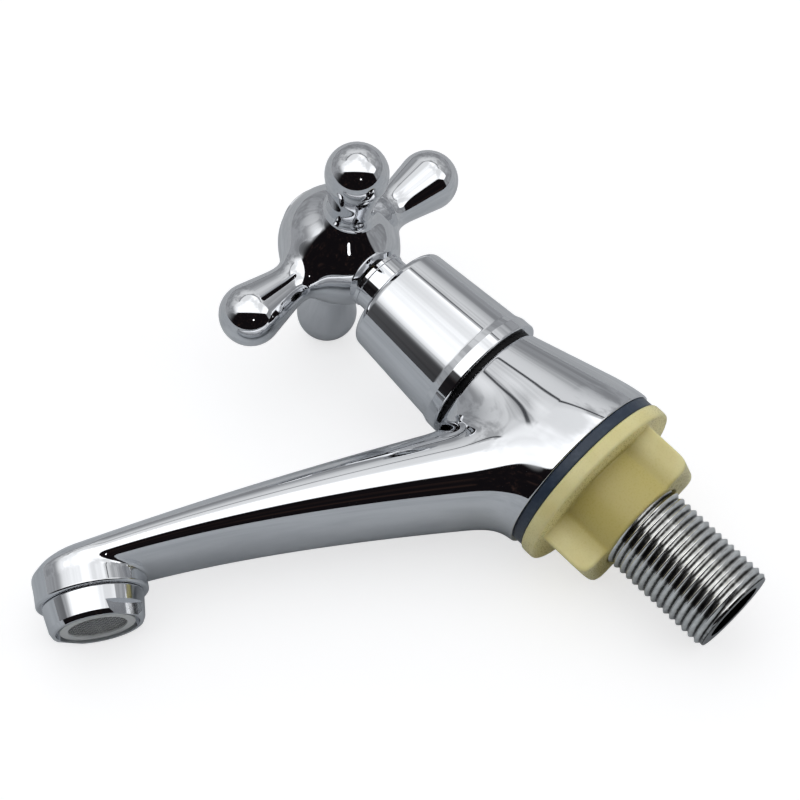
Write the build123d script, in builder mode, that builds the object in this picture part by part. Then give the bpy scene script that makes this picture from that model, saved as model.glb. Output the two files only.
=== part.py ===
"""Cold water basin pillar tap with a cross handle, built as its separate pieces.

Millimetres. The origin is the centre of the base washer's underside, which is the
top of the basin's deck. +Z runs up the shank and the spindle, and the spout
reaches out along -Y. The tap is stored with its nut run up against the washer.
"""
from build123d import *
import os
from math import acos, cos, degrees, hypot, radians, sin, sqrt, tan

os.makedirs("parts", exist_ok=True)

# Clearances
running_fit = 0.08
assembly_fit = 0.05
moving_gap = 0.3
face_gap = 0.05
loose_gap = 0.5

# Threaded shank, G 1/2 parallel thread
shank_diameter = 20.955
thread_pitch = 1.814
thread_depth = 1.162
shank_bore_diameter = 14.0
shank_drop = 43.0
shank_lead_chamfer = 1.0
thread_runout = 1.5
thread_root_share = 0.16
thread_mouth_share = 0.96
thread_overcut = 0.2
spigot_diameter = 18.0
spigot_length = 9.0
shank_seal_section = 1.8
shank_seal_squeeze = 0.1

# Base washer and back nut
washer_thickness = 2.5
washer_diameter = 41.6
nut_flange_diameter = 42.6
nut_flange_thickness = 3.6
nut_height = 15.8
nut_hub_diameter = 26.4
wing_span = 33.0
wing_width = 18.6
wing_clock_angle = 75.0
wing_corner_radius = 4.5
wing_edge_radius = 0.9

# Body casting
foot_diameter = 42.5
body_shoulder_height = 7.5
body_shoulder_setback = 1.25
shoulder_bow = 0.38
body_height = 27.7
body_top_share = 0.673
body_top_diameter = foot_diameter * body_top_share
seat_height = 11.5
inlet_diameter = 11.0
valve_chamber_diameter = 18.8

# Spout, from its root on the shank's axis to the outlet
outlet_reach = 99.2
outlet_height = 49.6
outlet_tilt = 31.8
head_diameter = 24.0
head_mouth_diameter = 24.6
head_edge_radius = 0.6
head_lap = 0.05
head_skirt_height = 6.4
head_centre_height = 13.3
root_setback = 7.5
root_below_top = 20.45
root_rise = 35.0
tip_rise = 25.0
root_width_share = 0.3647
root_half_width = foot_diameter * root_width_share
root_half_depth = 13.0
tip_half_depth = 5.2
width_taper_power = 1.3
depth_taper_power = 1.6
spout_sections = 6
root_fillet = 4.0
spout_side_wall = 3.0
waterway_root_half_depth = 4.4
waterway_tip_half_depth = 1.9
waterway_lift = 1.3

# Headwork, the quarter-turn ceramic valve
headwork_thread_diameter = 20.8
headwork_thread_length = 8.0
hex_across_flats = 21.5
hex_height = 5.0
headwork_neck_diameter = 18.0
headwork_neck_length = 15.3
skirt_wall = 1.0
disc_thickness = 2.8
disc_port_angle = 70.0
disc_port_inner_radius = 2.2
disc_port_rim = 1.4
seat_seal_height = 1.4
seat_seal_width = 2.0
headwork_seal_section = 1.2
thrust_washer_thickness = 0.6
window_width = 9.0
window_height = 2.6

# Spindle
spindle_diameter = 9.9
spindle_flange_height = 2.5
tongue_width = 3.0
tongue_depth = 1.2
o_ring_section = 1.7
o_ring_pitch = 5.0
clip_thickness = 0.9
clip_width = 2.4
clip_opening_angle = 60.0
clip_groove_depth = 0.75
spline_diameter = 8.0
spline_teeth = 20
spline_groove_radius = 0.35

# Sleeve over the headwork
sleeve_gap = 1.7
sleeve_height = 28.6
collar_diameter = 31.5
collar_height = 2.9
sleeve_base_diameter = 29.8
sleeve_base_height = 6.4
sleeve_top_diameter = 26.2
sleeve_edge_radius = 1.9
sleeve_wall = 1.7
sleeve_lip = 2.2
sleeve_web_height = 4.0
sleeve_web_level = 10.5
gap_ring_width = 1.0
gap_ring_setback = 0.9
guide_ring_width = 0.8
guide_ring_height = 1.6

# Cross handle
neck_diameter = 13.8
neck_engagement = 3.0
neck_length = 5.4
neck_rim_diameter = 14.4
neck_rim_height = 0.9
hub_diameter = 27.0
hub_centre_above_sleeve = 18.6
hub_under_drop = 15.2
arm_drop = 1.3
arm_reach = 28.3
ball_diameter = 14.2
arm_taper_angle = 12.0
arm_root_fillet = 4.5
arm_clock_angle = 12.1
handle_web = 3.0
screw_diameter = 4.0
screw_length = 12.0
screw_head_diameter = 7.6
screw_head_height = 2.6
screw_slot_width = 1.0
screw_slot_depth = 1.1
cap_diameter = 10.2
cap_plug_depth = 1.4
cap_proud = 0.3
dot_diameter = 4.8
dot_depth = 0.5

# Aerator, measured up its own axis from the outlet plane
aerator_diameter = 22.2
aerator_foot_diameter = 20.8
aerator_thread_diameter = 19.8
aerator_thread_length = 4.2
aerator_mouth_diameter = 18.2
aerator_mouth_depth = 1.5
aerator_lip_width = 0.9
aerator_lip_height = 1.0
aerator_wall = 0.9
aerator_edge = 0.5
aerator_flat_setback = 1.1
aerator_flat_height = 3.0
aerator_flat_angle = 48.0
aerator_seal_height = 1.5
aerator_seal_width = 1.6
cage_nose_inset = 0.3
cage_flange_height = 1.4
cage_mouth_diameter = 12.8
cage_height = 7.0
mesh_inset = 0.7
mesh_thickness = 0.4
mesh_pitch = 1.15
mesh_hole = 0.75
diffuser_thickness = 1.4
diffuser_holes = 10
diffuser_hole_diameter = 1.2
plenum_diameter = 14.4
plenum_height = 2.2

# Levels along Z, each taken from the piece below it
shank_radius = shank_diameter / 2
body_underside = washer_thickness
body_top = body_underside + body_height
seat_level = body_underside + seat_height
socket_top = body_underside + spigot_length + face_gap
headwork_thread_bottom = body_top - headwork_thread_length
skirt_bottom = seat_level + seat_seal_height - face_gap
disc_bottom = seat_level + seat_seal_height
disc_parting = disc_bottom + disc_thickness
moving_disc_bottom = disc_parting + face_gap / 2
moving_disc_top = moving_disc_bottom + disc_thickness
flange_bottom = moving_disc_top + face_gap / 2
flange_top = flange_bottom + spindle_flange_height
thrust_bottom = flange_top + face_gap
skirt_ceiling = thrust_bottom + thrust_washer_thickness + face_gap
hex_top = body_top + hex_height
headwork_top = hex_top + headwork_neck_length
waterway_mouth_level = moving_disc_top
sleeve_bottom = body_top + sleeve_gap
sleeve_top = sleeve_bottom + sleeve_height
hub_centre = sleeve_top + hub_centre_above_sleeve
arm_level = hub_centre - arm_drop
neck_bottom = sleeve_top - neck_engagement
neck_top = sleeve_top + neck_length
spindle_top = hub_centre - handle_web / 2 - loose_gap
clip_bottom = headwork_top + face_gap * 4

# Radii that pieces share
valve_chamber_radius = valve_chamber_diameter / 2
headwork_thread_radius = headwork_thread_diameter / 2
skirt_radius = valve_chamber_radius - face_gap * 4
disc_radius = skirt_radius - skirt_wall - assembly_fit
spindle_radius = spindle_diameter / 2
spindle_bore_radius = spindle_radius + running_fit
hex_corner_radius = hex_across_flats / 2 / cos(radians(30))
gap_ring_outer = body_top_diameter / 2 - gap_ring_setback
gap_ring_inner = gap_ring_outer - gap_ring_width
neck_radius = neck_diameter / 2
guide_ring_inner = neck_radius + moving_gap
guide_ring_outer = guide_ring_inner + guide_ring_width
hub_radius = hub_diameter / 2
ball_radius = ball_diameter / 2
head_radius = head_diameter / 2


def aslant(distance, rise):
    """Y and Z of a step of this length that climbs towards the spout's tip."""
    return -distance * cos(radians(rise)), distance * sin(radians(rise))


def cross_plane(y, z, rise):
    """Plane square to the spout at a point, with its own Y pointing up."""
    step_y, step_z = aslant(1, rise)
    return Plane(origin=(0, y, z), x_dir=(1, 0, 0), z_dir=(0, step_y, step_z))


def outlet_point(up, forward=0.0):
    """Y and Z of a point in the outlet's frame."""
    tilt = radians(outlet_tilt)
    y = -outlet_reach + up * sin(tilt) - forward * cos(tilt)
    z = outlet_height + up * cos(tilt) + forward * sin(tilt)
    return y, z


def outlet_plane(up):
    """Plane square to the outlet's axis, that high above the outlet's mouth."""
    y, z = outlet_point(up)
    tilt = radians(outlet_tilt)
    return Plane(origin=(0, y, z), x_dir=(1, 0, 0), z_dir=(0, sin(tilt), cos(tilt)))


outlet_profile_plane = cross_plane(-outlet_reach, outlet_height, outlet_tilt)
outlet_axis = Axis(
    (0, -outlet_reach, outlet_height),
    (0, sin(radians(outlet_tilt)), cos(radians(outlet_tilt))),
)

# The spout's centre line is one curve, tangent to the root's rise and the tip's rise
tip_y, tip_z = outlet_point(head_centre_height)
turn = radians(root_rise - tip_rise)
root_height = body_top - root_below_top
span_y, span_z = -root_setback - tip_y, tip_z - root_height
root_arm = (span_y * sin(radians(tip_rise)) - span_z * cos(radians(tip_rise))) / -sin(turn)
bend_step_y, bend_step_z = aslant(root_arm, root_rise)
bend_y, bend_z = -root_setback + bend_step_y, root_height + bend_step_z


def spout_station(share):
    """Place, rise and half sizes of the spout's section at a share of its length."""
    rest = 1 - share
    y = -root_setback * rest**2 + 2 * bend_y * share * rest + tip_y * share**2
    z = root_height * rest**2 + 2 * bend_z * share * rest + tip_z * share**2
    rise = root_rise + (tip_rise - root_rise) * share
    width = head_radius + (root_half_width - head_radius) * rest**width_taper_power
    depth = tip_half_depth + (root_half_depth - tip_half_depth) * rest**depth_taper_power
    return y, z, rise, width, depth


# Body casting with the spout, in one piece. The cone is drawn with a skirt below its
# foot, so that the spout's root fillet has room there, and the skirt is cut off again.
skirt_length = 2 * root_half_depth

with BuildPart() as cone:
    with BuildSketch(Plane.XZ):
        with BuildLine():
            foot_radius = foot_diameter / 2
            shoulder_radius = foot_radius - body_shoulder_setback
            shoulder_level = body_underside + body_shoulder_height
            bow_radius = foot_radius - body_shoulder_setback * shoulder_bow
            bow_level = body_underside + body_shoulder_height * (1 - shoulder_bow)
            skirt_bottom_level = body_underside - skirt_length
            crown = Line((0, body_top), (body_top_diameter / 2, body_top))
            flank = Line(crown @ 1, (shoulder_radius, shoulder_level))
            shoulder = ThreePointArc(flank @ 1, (bow_radius, bow_level), (foot_radius, body_underside))
            skirt = Line(shoulder @ 1, (foot_radius, skirt_bottom_level))
            skirt_base = Line(skirt @ 1, (0, skirt_bottom_level))
            Line(skirt_base @ 1, crown @ 0)
        make_face()
    revolve(axis=Axis.Z)

with BuildPart() as spout_arm:
    for index in range(spout_sections):
        y, z, rise, width, depth = spout_station(index / (spout_sections - 1))
        with BuildSketch(cross_plane(y, z, rise)):
            Ellipse(width, depth)
    loft()

with BuildPart() as nose:
    with BuildSketch(cross_plane(tip_y, tip_z, tip_rise)):
        Ellipse(head_radius, tip_half_depth)
        with Locations((-head_radius, 0)):
            Rectangle(2 * head_radius, 4 * tip_half_depth, mode=Mode.SUBTRACT)
    revolve(axis=Axis((0, tip_y, tip_z), (0, sin(radians(tip_rise)), cos(radians(tip_rise)))))

with BuildPart() as head:
    head_rise = head_centre_height - head_skirt_height
    head_crown_radius = head_radius + head_lap
    with BuildSketch(outlet_profile_plane):
        with BuildLine():
            Polyline(
                (0, head_skirt_height),
                (head_mouth_diameter / 2, head_skirt_height),
                (head_crown_radius, head_centre_height),
                (head_crown_radius, head_centre_height + head_rise),
                (0, head_centre_height + head_rise),
                close=True,
            )
        make_face()
    revolve(axis=outlet_axis)
    fillet(head.edges().filter_by(GeomType.CIRCLE).group_by(SortBy.RADIUS)[-1], head_edge_radius)
    middle_normal = (0, sin(radians(tip_rise)), cos(radians(tip_rise)))
    split(bisect_by=Plane(origin=(0, tip_y, tip_z), z_dir=middle_normal), keep=Keep.BOTTOM)

aerator_thread_radius = aerator_thread_diameter / 2
thread_top = head_skirt_height + aerator_thread_length
aerator_seal_bottom = thread_top + face_gap
cavity_top = aerator_seal_bottom + aerator_seal_height + face_gap
shank_socket_radius = spigot_diameter / 2 + assembly_fit

with BuildPart() as waterway:
    with BuildSketch(cross_plane(0, waterway_mouth_level, 0)):
        Ellipse(valve_chamber_radius * 0.65, waterway_root_half_depth)
    for index in range(1, spout_sections):
        share = index / (spout_sections - 1)
        y, z, rise, width, depth = spout_station(share)
        bore_half_depth = waterway_root_half_depth * (1 - share) + waterway_tip_half_depth * share
        with BuildSketch(cross_plane(y, z + waterway_lift * share, rise)):
            Ellipse(width - spout_side_wall, bore_half_depth)
    loft()

with BuildPart() as spout_body:
    add(cone.part)
    add(spout_arm.part)
    add(nose.part)
    add(head.part)
    seam = spout_body.part.edges().filter_by(
        lambda edge: edge.geom_type != GeomType.CIRCLE
        and -outlet_reach / 2 < edge.center().Y < -foot_diameter / 5
        and body_underside - root_half_depth < edge.center().Z < body_top - face_gap
    )
    fillet(seam, root_fillet)
    with BuildSketch(Plane.XY.offset(body_underside)):
        Circle(outlet_reach)
    extrude(amount=-2 * skirt_length, mode=Mode.SUBTRACT)
    add(waterway.part, mode=Mode.SUBTRACT)
    with BuildSketch(Plane.XY.offset(body_underside)):
        Circle(shank_socket_radius)
    extrude(amount=socket_top - body_underside, mode=Mode.SUBTRACT)
    with BuildSketch(Plane.XY.offset(body_underside)):
        Circle(inlet_diameter / 2)
    extrude(amount=seat_level - body_underside, mode=Mode.SUBTRACT)
    with BuildSketch(Plane.XY.offset(seat_level)):
        Circle(valve_chamber_radius)
    extrude(amount=body_top - seat_level, mode=Mode.SUBTRACT)
    with BuildSketch(Plane.XY.offset(headwork_thread_bottom)):
        Circle(headwork_thread_radius + assembly_fit)
    extrude(amount=body_top - headwork_thread_bottom, mode=Mode.SUBTRACT)
    with BuildSketch(Plane.XY.offset(body_top - headwork_seal_section)):
        Circle(headwork_thread_radius + headwork_seal_section + 2 * assembly_fit)
    extrude(amount=headwork_seal_section, mode=Mode.SUBTRACT)
    with BuildSketch(outlet_plane(head_skirt_height)):
        Circle(aerator_thread_radius + assembly_fit)
    extrude(amount=cavity_top - head_skirt_height, mode=Mode.SUBTRACT)
    with BuildSketch(outlet_plane(cavity_top)):
        Circle(plenum_diameter / 2)
    extrude(amount=plenum_height, mode=Mode.SUBTRACT)
spout_body.part.label = "spout_body"
export_step(spout_body.part, "parts/spout_body.step")

# Threaded shank with a plain spigot that fits the casting
with BuildPart() as threaded_shank:
    with BuildSketch(Plane.XY.offset(-shank_drop)):
        Circle(shank_radius)
    extrude(amount=shank_drop + body_underside)
    lead = threaded_shank.faces().sort_by(Axis.Z)[0].edges()
    chamfer(lead, shank_lead_chamfer)
    with BuildSketch(Plane.XY.offset(body_underside)):
        Circle(spigot_diameter / 2)
    extrude(amount=spigot_length)
    thread_length = shank_drop - thread_runout - shank_lead_chamfer
    thread_start = -shank_drop + shank_lead_chamfer
    thread_root_radius = shank_radius - thread_depth
    thread_crest_radius = shank_radius + thread_depth * thread_overcut
    thread_root_half = thread_pitch * thread_root_share / 2
    thread_mouth_half = thread_pitch * thread_mouth_share / 2
    with BuildSketch(Plane.XZ):
        for turn_index in range(int(thread_length / thread_pitch)):
            groove_level = thread_start + thread_pitch * (turn_index + 0.5)
            with BuildLine():
                Polyline(
                    (thread_crest_radius, groove_level - thread_mouth_half),
                    (thread_root_radius, groove_level - thread_root_half),
                    (thread_root_radius, groove_level + thread_root_half),
                    (thread_crest_radius, groove_level + thread_mouth_half),
                    close=True,
                )
            make_face()
    revolve(axis=Axis.Z, mode=Mode.SUBTRACT)
    with BuildSketch(Plane.XY.offset(-shank_drop)):
        Circle(shank_bore_diameter / 2)
    extrude(amount=shank_drop + body_underside + spigot_length, mode=Mode.SUBTRACT)
    seal_groove_radius = spigot_diameter / 2 - shank_seal_section / 2 + shank_seal_squeeze
    seal_level = body_underside + spigot_length / 2
    with BuildSketch(Plane.XY.offset(seal_level - shank_seal_section / 2)):
        Circle(spigot_diameter / 2)
        Circle(seal_groove_radius, mode=Mode.SUBTRACT)
    extrude(amount=shank_seal_section, mode=Mode.SUBTRACT)
threaded_shank.part.label = "threaded_shank"
export_step(threaded_shank.part, "parts/threaded_shank.step")

with BuildPart() as shank_seal:
    with BuildSketch(Plane.XY.offset(seal_level - shank_seal_section / 2 + face_gap)):
        Circle(shank_socket_radius - assembly_fit / 2)
        Circle(seal_groove_radius + assembly_fit / 2, mode=Mode.SUBTRACT)
    extrude(amount=shank_seal_section - 2 * face_gap)
    fillet(shank_seal.edges(), shank_seal_section / 8)
shank_seal.part.label = "shank_seal"
export_step(shank_seal.part, "parts/shank_seal.step")

# Base washer, between the casting's foot and the basin
with BuildPart() as base_washer:
    with BuildSketch(Plane.XY):
        Circle(washer_diameter / 2)
        Circle(shank_radius + moving_gap, mode=Mode.SUBTRACT)
    extrude(amount=washer_thickness)
    outer_edges = base_washer.edges().filter_by(GeomType.CIRCLE).group_by(SortBy.RADIUS)[-1]
    fillet(outer_edges, washer_thickness / 8)
base_washer.part.label = "base_washer"
export_step(base_washer.part, "parts/base_washer.step")

# Back nut: flange, hub and two broad wings
with BuildPart() as back_nut:
    with BuildSketch(Plane.XY.offset(-face_gap)):
        Circle(nut_flange_diameter / 2)
    extrude(amount=-nut_flange_thickness)
    fillet(back_nut.edges(), nut_flange_thickness / 5)
    with BuildSketch(Plane.XY.offset(-face_gap)):
        Circle(nut_hub_diameter / 2)
    extrude(amount=-nut_height)
    heading = radians(wing_clock_angle)
    wing_middle = -face_gap - (nut_height + nut_flange_thickness / 2) / 2
    wing_side = Plane(
        origin=(0, 0, wing_middle),
        x_dir=(cos(heading), sin(heading), 0),
        z_dir=(sin(heading), -cos(heading), 0),
    )
    with BuildSketch(wing_side) as wing_profile:
        Rectangle(wing_span, nut_height - nut_flange_thickness / 2)
        fillet(wing_profile.vertices().sort_by(Axis.Y)[:2], wing_corner_radius)
    extrude(amount=wing_width / 2, both=True)
    wing_ends = back_nut.edges().filter_by(Axis.Z).filter_by(
        lambda edge: hypot(edge.center().X, edge.center().Y) > wing_span / 2
    )
    fillet(wing_ends, wing_edge_radius)
    with BuildSketch(Plane.XY.offset(-face_gap)):
        Circle(shank_radius + running_fit)
    extrude(amount=-nut_height, mode=Mode.SUBTRACT)
back_nut.part.label = "back_nut"
export_step(back_nut.part, "parts/back_nut.step")

# Seat seal, fixed disc and moving disc
with BuildPart() as seat_seal:
    with BuildSketch(Plane.XY.offset(seat_level)):
        Circle(inlet_diameter / 2 + seat_seal_width)
        Circle(inlet_diameter / 2, mode=Mode.SUBTRACT)
    extrude(amount=seat_seal_height)
seat_seal.part.label = "seat_seal"
export_step(seat_seal.part, "parts/seat_seal.step")


def disc_ports(outer_radius, centre_angle):
    """Two opposite sector openings of a valve disc."""
    half = disc_port_angle / 2
    with BuildSketch() as ports:
        for heading in (centre_angle, centre_angle + 180):
            with BuildLine():
                rim_arc = CenterArc((0, 0), outer_radius, heading - half, disc_port_angle)
                hub_arc = CenterArc((0, 0), disc_port_inner_radius, heading - half, disc_port_angle)
                Line(hub_arc @ 0, rim_arc @ 0)
                Line(hub_arc @ 1, rim_arc @ 1)
            make_face()
    return ports.sketch


with BuildPart() as fixed_disc:
    with BuildSketch(Plane.XY.offset(disc_bottom)):
        Circle(disc_radius)
        add(disc_ports(inlet_diameter / 2, 90), mode=Mode.SUBTRACT)
    extrude(amount=disc_thickness)
fixed_disc.part.label = "fixed_disc"
export_step(fixed_disc.part, "parts/fixed_disc.step")

with BuildPart() as moving_disc:
    with BuildSketch(Plane.XY.offset(moving_disc_bottom)):
        Circle(disc_radius - moving_gap)
        add(disc_ports(disc_radius - moving_gap - disc_port_rim, 0), mode=Mode.SUBTRACT)
    extrude(amount=disc_thickness)
    with BuildSketch(Plane.XY.offset(moving_disc_top)):
        Rectangle(tongue_width + 2 * assembly_fit, 2 * disc_radius)
    extrude(amount=-tongue_depth - assembly_fit, mode=Mode.SUBTRACT)
moving_disc.part.label = "moving_disc"
export_step(moving_disc.part, "parts/moving_disc.step")

# Headwork body: windowed skirt, thread, hexagon and neck
with BuildPart() as headwork_body:
    with BuildSketch(Plane.XY.offset(skirt_bottom)):
        Circle(skirt_radius)
    extrude(amount=headwork_thread_bottom - skirt_bottom)
    with BuildSketch(Plane.XY.offset(headwork_thread_bottom)):
        Circle(headwork_thread_radius)
    extrude(amount=body_top - headwork_thread_bottom)
    with BuildSketch(Plane.XY.offset(body_top)):
        RegularPolygon(hex_corner_radius, 6)
    extrude(amount=hex_height)
    with BuildSketch(Plane.XY.offset(hex_top)):
        Circle(headwork_neck_diameter / 2)
    extrude(amount=headwork_neck_length)
    chamfer(headwork_body.faces().sort_by(Axis.Z)[-1].edges(), loose_gap)
    with BuildSketch(Plane.XY.offset(skirt_bottom)):
        Circle(disc_radius + assembly_fit)
    extrude(amount=skirt_ceiling - skirt_bottom, mode=Mode.SUBTRACT)
    with BuildSketch(Plane.XY.offset(skirt_bottom)):
        Circle(spindle_bore_radius)
    extrude(amount=headwork_top - skirt_bottom, mode=Mode.SUBTRACT)
    with BuildSketch(Plane.XY.offset(moving_disc_bottom)):
        Rectangle(window_width, 2 * valve_chamber_diameter)
    extrude(amount=window_height, mode=Mode.SUBTRACT)
headwork_body.part.label = "headwork_body"
export_step(headwork_body.part, "parts/headwork_body.step")

headwork_seal_ring_radius = headwork_thread_radius + headwork_seal_section / 2 + assembly_fit

with BuildPart() as headwork_seal:
    with BuildSketch(Plane.XZ):
        with Locations((headwork_seal_ring_radius, body_top - headwork_seal_section / 2)):
            Circle(headwork_seal_section / 2 - assembly_fit / 2)
    revolve(axis=Axis.Z)
headwork_seal.part.label = "headwork_seal"
export_step(headwork_seal.part, "parts/headwork_seal.step")

with BuildPart() as thrust_washer:
    with BuildSketch(Plane.XY.offset(thrust_bottom)):
        Circle(disc_radius - assembly_fit)
        Circle(spindle_radius + moving_gap, mode=Mode.SUBTRACT)
    extrude(amount=thrust_washer_thickness)
thrust_washer.part.label = "thrust_washer"
export_step(thrust_washer.part, "parts/thrust_washer.step")

# Spindle, its two seal rings and its retaining clip
o_ring_radius = o_ring_section / 2
o_ring_centre_radius = spindle_radius - o_ring_radius + assembly_fit
o_ring_levels = [
    (hex_top + headwork_top) / 2 - o_ring_pitch / 2,
    (hex_top + headwork_top) / 2 + o_ring_pitch / 2,
]
clip_groove_top = clip_bottom + clip_thickness + face_gap
shoulder_top = clip_groove_top + clip_thickness
screw_hole_radius = screw_diameter / 2 + assembly_fit

with BuildPart() as spindle:
    with BuildSketch(Plane.XY.offset(flange_bottom)):
        Circle(disc_radius - moving_gap)
    extrude(amount=spindle_flange_height)
    with BuildSketch(Plane.XY.offset(flange_bottom)):
        Rectangle(tongue_width, 2 * (disc_radius - moving_gap) - 2 * disc_port_rim)
    extrude(amount=-tongue_depth)
    with BuildSketch(Plane.XY.offset(flange_top)):
        Circle(spindle_radius)
    extrude(amount=shoulder_top - flange_top)
    with BuildSketch(Plane.XY.offset(shoulder_top)):
        Circle(spline_diameter / 2)
        with PolarLocations(spline_diameter / 2, spline_teeth):
            Circle(spline_groove_radius, mode=Mode.SUBTRACT)
    extrude(amount=spindle_top - shoulder_top)
    for level in o_ring_levels:
        with BuildSketch(Plane.XY.offset(level - o_ring_radius - assembly_fit)):
            Circle(spindle_radius)
            Circle(o_ring_centre_radius - o_ring_radius - assembly_fit, mode=Mode.SUBTRACT)
        extrude(amount=o_ring_section + 2 * assembly_fit, mode=Mode.SUBTRACT)
    with BuildSketch(Plane.XY.offset(clip_bottom - face_gap)):
        Circle(spindle_radius)
        Circle(spindle_radius - clip_groove_depth, mode=Mode.SUBTRACT)
    extrude(amount=clip_thickness + 2 * face_gap, mode=Mode.SUBTRACT)
    with BuildSketch(Plane.XY.offset(spindle_top)):
        Circle(screw_hole_radius)
    extrude(amount=-screw_length, mode=Mode.SUBTRACT)
spindle.part.label = "spindle"
export_step(spindle.part, "parts/spindle.step")

with BuildPart() as spindle_o_rings:
    with BuildSketch(Plane.XZ):
        with Locations(*[(o_ring_centre_radius, level) for level in o_ring_levels]):
            Circle(o_ring_radius)
    revolve(axis=Axis.Z)
spindle_o_rings.part.label = "spindle_o_rings"
export_step(spindle_o_rings.part, "parts/spindle_o_rings.step")

with BuildPart() as spindle_clip:
    clip_inner = spindle_radius - clip_groove_depth + assembly_fit
    with BuildSketch(Plane.XY.offset(clip_bottom)):
        Circle(clip_inner + clip_width)
        Circle(clip_inner, mode=Mode.SUBTRACT)
        clip_reach = 2 * (clip_inner + clip_width)
        clip_spread = clip_reach * tan(radians(clip_opening_angle / 2))
        with BuildLine():
            Polyline((0, 0), (clip_reach, -clip_spread), (clip_reach, clip_spread), close=True)
        make_face(mode=Mode.SUBTRACT)
    extrude(amount=clip_thickness)
spindle_clip.part.label = "spindle_clip"
export_step(spindle_clip.part, "parts/spindle_clip.step")

# Dark ring in the gap between the casting and the sleeve
with BuildPart() as gap_ring:
    with BuildSketch(Plane.XY.offset(body_top)):
        Circle(gap_ring_outer)
        Circle(gap_ring_inner, mode=Mode.SUBTRACT)
    extrude(amount=sleeve_gap)
gap_ring.part.label = "gap_ring"
export_step(gap_ring.part, "parts/gap_ring.step")

# Sleeve: flared collar, tapered wall, rounded top edge, and the web that screws on the neck
with BuildPart() as sleeve:
    collar_radius = collar_diameter / 2
    sleeve_base_radius = sleeve_base_diameter / 2
    sleeve_top_radius = sleeve_top_diameter / 2
    collar_top = sleeve_bottom + collar_height
    flare_top = sleeve_bottom + sleeve_base_height
    guide_seat_radius = guide_ring_outer + assembly_fit
    web_bottom = sleeve_bottom + sleeve_web_level
    web_top = web_bottom + sleeve_web_height
    ceiling = sleeve_top - sleeve_lip
    with BuildSketch(Plane.XZ):
        with BuildLine():
            flare_middle = (
                sleeve_base_radius + (collar_radius - sleeve_base_radius) * 0.3,
                (collar_top + flare_top) / 2,
            )
            base = Line((0, sleeve_bottom), (collar_radius - loose_gap, sleeve_bottom))
            bevel = Line(base @ 1, (collar_radius, sleeve_bottom + loose_gap))
            band = Line(bevel @ 1, (collar_radius - assembly_fit * 2, collar_top))
            flare = ThreePointArc(band @ 1, flare_middle, (sleeve_base_radius, flare_top))
            wall = Line(flare @ 1, (sleeve_top_radius, sleeve_top))
            roof = Line(wall @ 1, (0, sleeve_top))
            Line(roof @ 1, base @ 0)
        make_face()
    revolve(axis=Axis.Z)
    top_edge = sleeve.edges().filter_by(GeomType.CIRCLE).sort_by(Axis.Z)[-1]
    fillet(top_edge, sleeve_edge_radius)
    with BuildSketch(Plane.XZ):
        with BuildLine():
            Polyline(
                (0, sleeve_bottom),
                (sleeve_base_radius - sleeve_wall, sleeve_bottom),
                (sleeve_base_radius - sleeve_wall, web_bottom),
                (headwork_neck_diameter / 2 + assembly_fit, web_bottom),
                (headwork_neck_diameter / 2 + assembly_fit, web_top),
                (sleeve_top_radius - sleeve_wall, web_top),
                (sleeve_top_radius - sleeve_wall, ceiling),
                (guide_seat_radius, ceiling),
                (guide_seat_radius, sleeve_top),
                (0, sleeve_top),
                close=True,
            )
        make_face()
    revolve(axis=Axis.Z, mode=Mode.SUBTRACT)
sleeve.part.label = "sleeve"
export_step(sleeve.part, "parts/sleeve.step")

with BuildPart() as guide_ring:
    with BuildSketch(Plane.XY.offset(sleeve_top - guide_ring_height - face_gap)):
        Circle(guide_ring_outer)
        Circle(guide_ring_inner, mode=Mode.SUBTRACT)
    extrude(amount=guide_ring_height)
guide_ring.part.label = "guide_ring"
export_step(guide_ring.part, "parts/guide_ring.step")

# Cross handle: neck, hub and four arms that swell into balls
arm_angles = [arm_clock_angle + 90 * index for index in range(4)]
cap_radius = cap_diameter / 2
cap_seat = hub_centre + sqrt(hub_radius**2 - cap_radius**2) - cap_plug_depth
web_top_level = hub_centre + handle_web / 2
taper = radians(arm_taper_angle)
tangent_reach = arm_reach - ball_radius * sin(taper)
tangent_radius = ball_radius * cos(taper)
arm_start = hub_radius / 2
arm_start_radius = tangent_radius - (tangent_reach - arm_start) * tan(taper)
socket_radius = spline_diameter / 2 + assembly_fit

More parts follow.
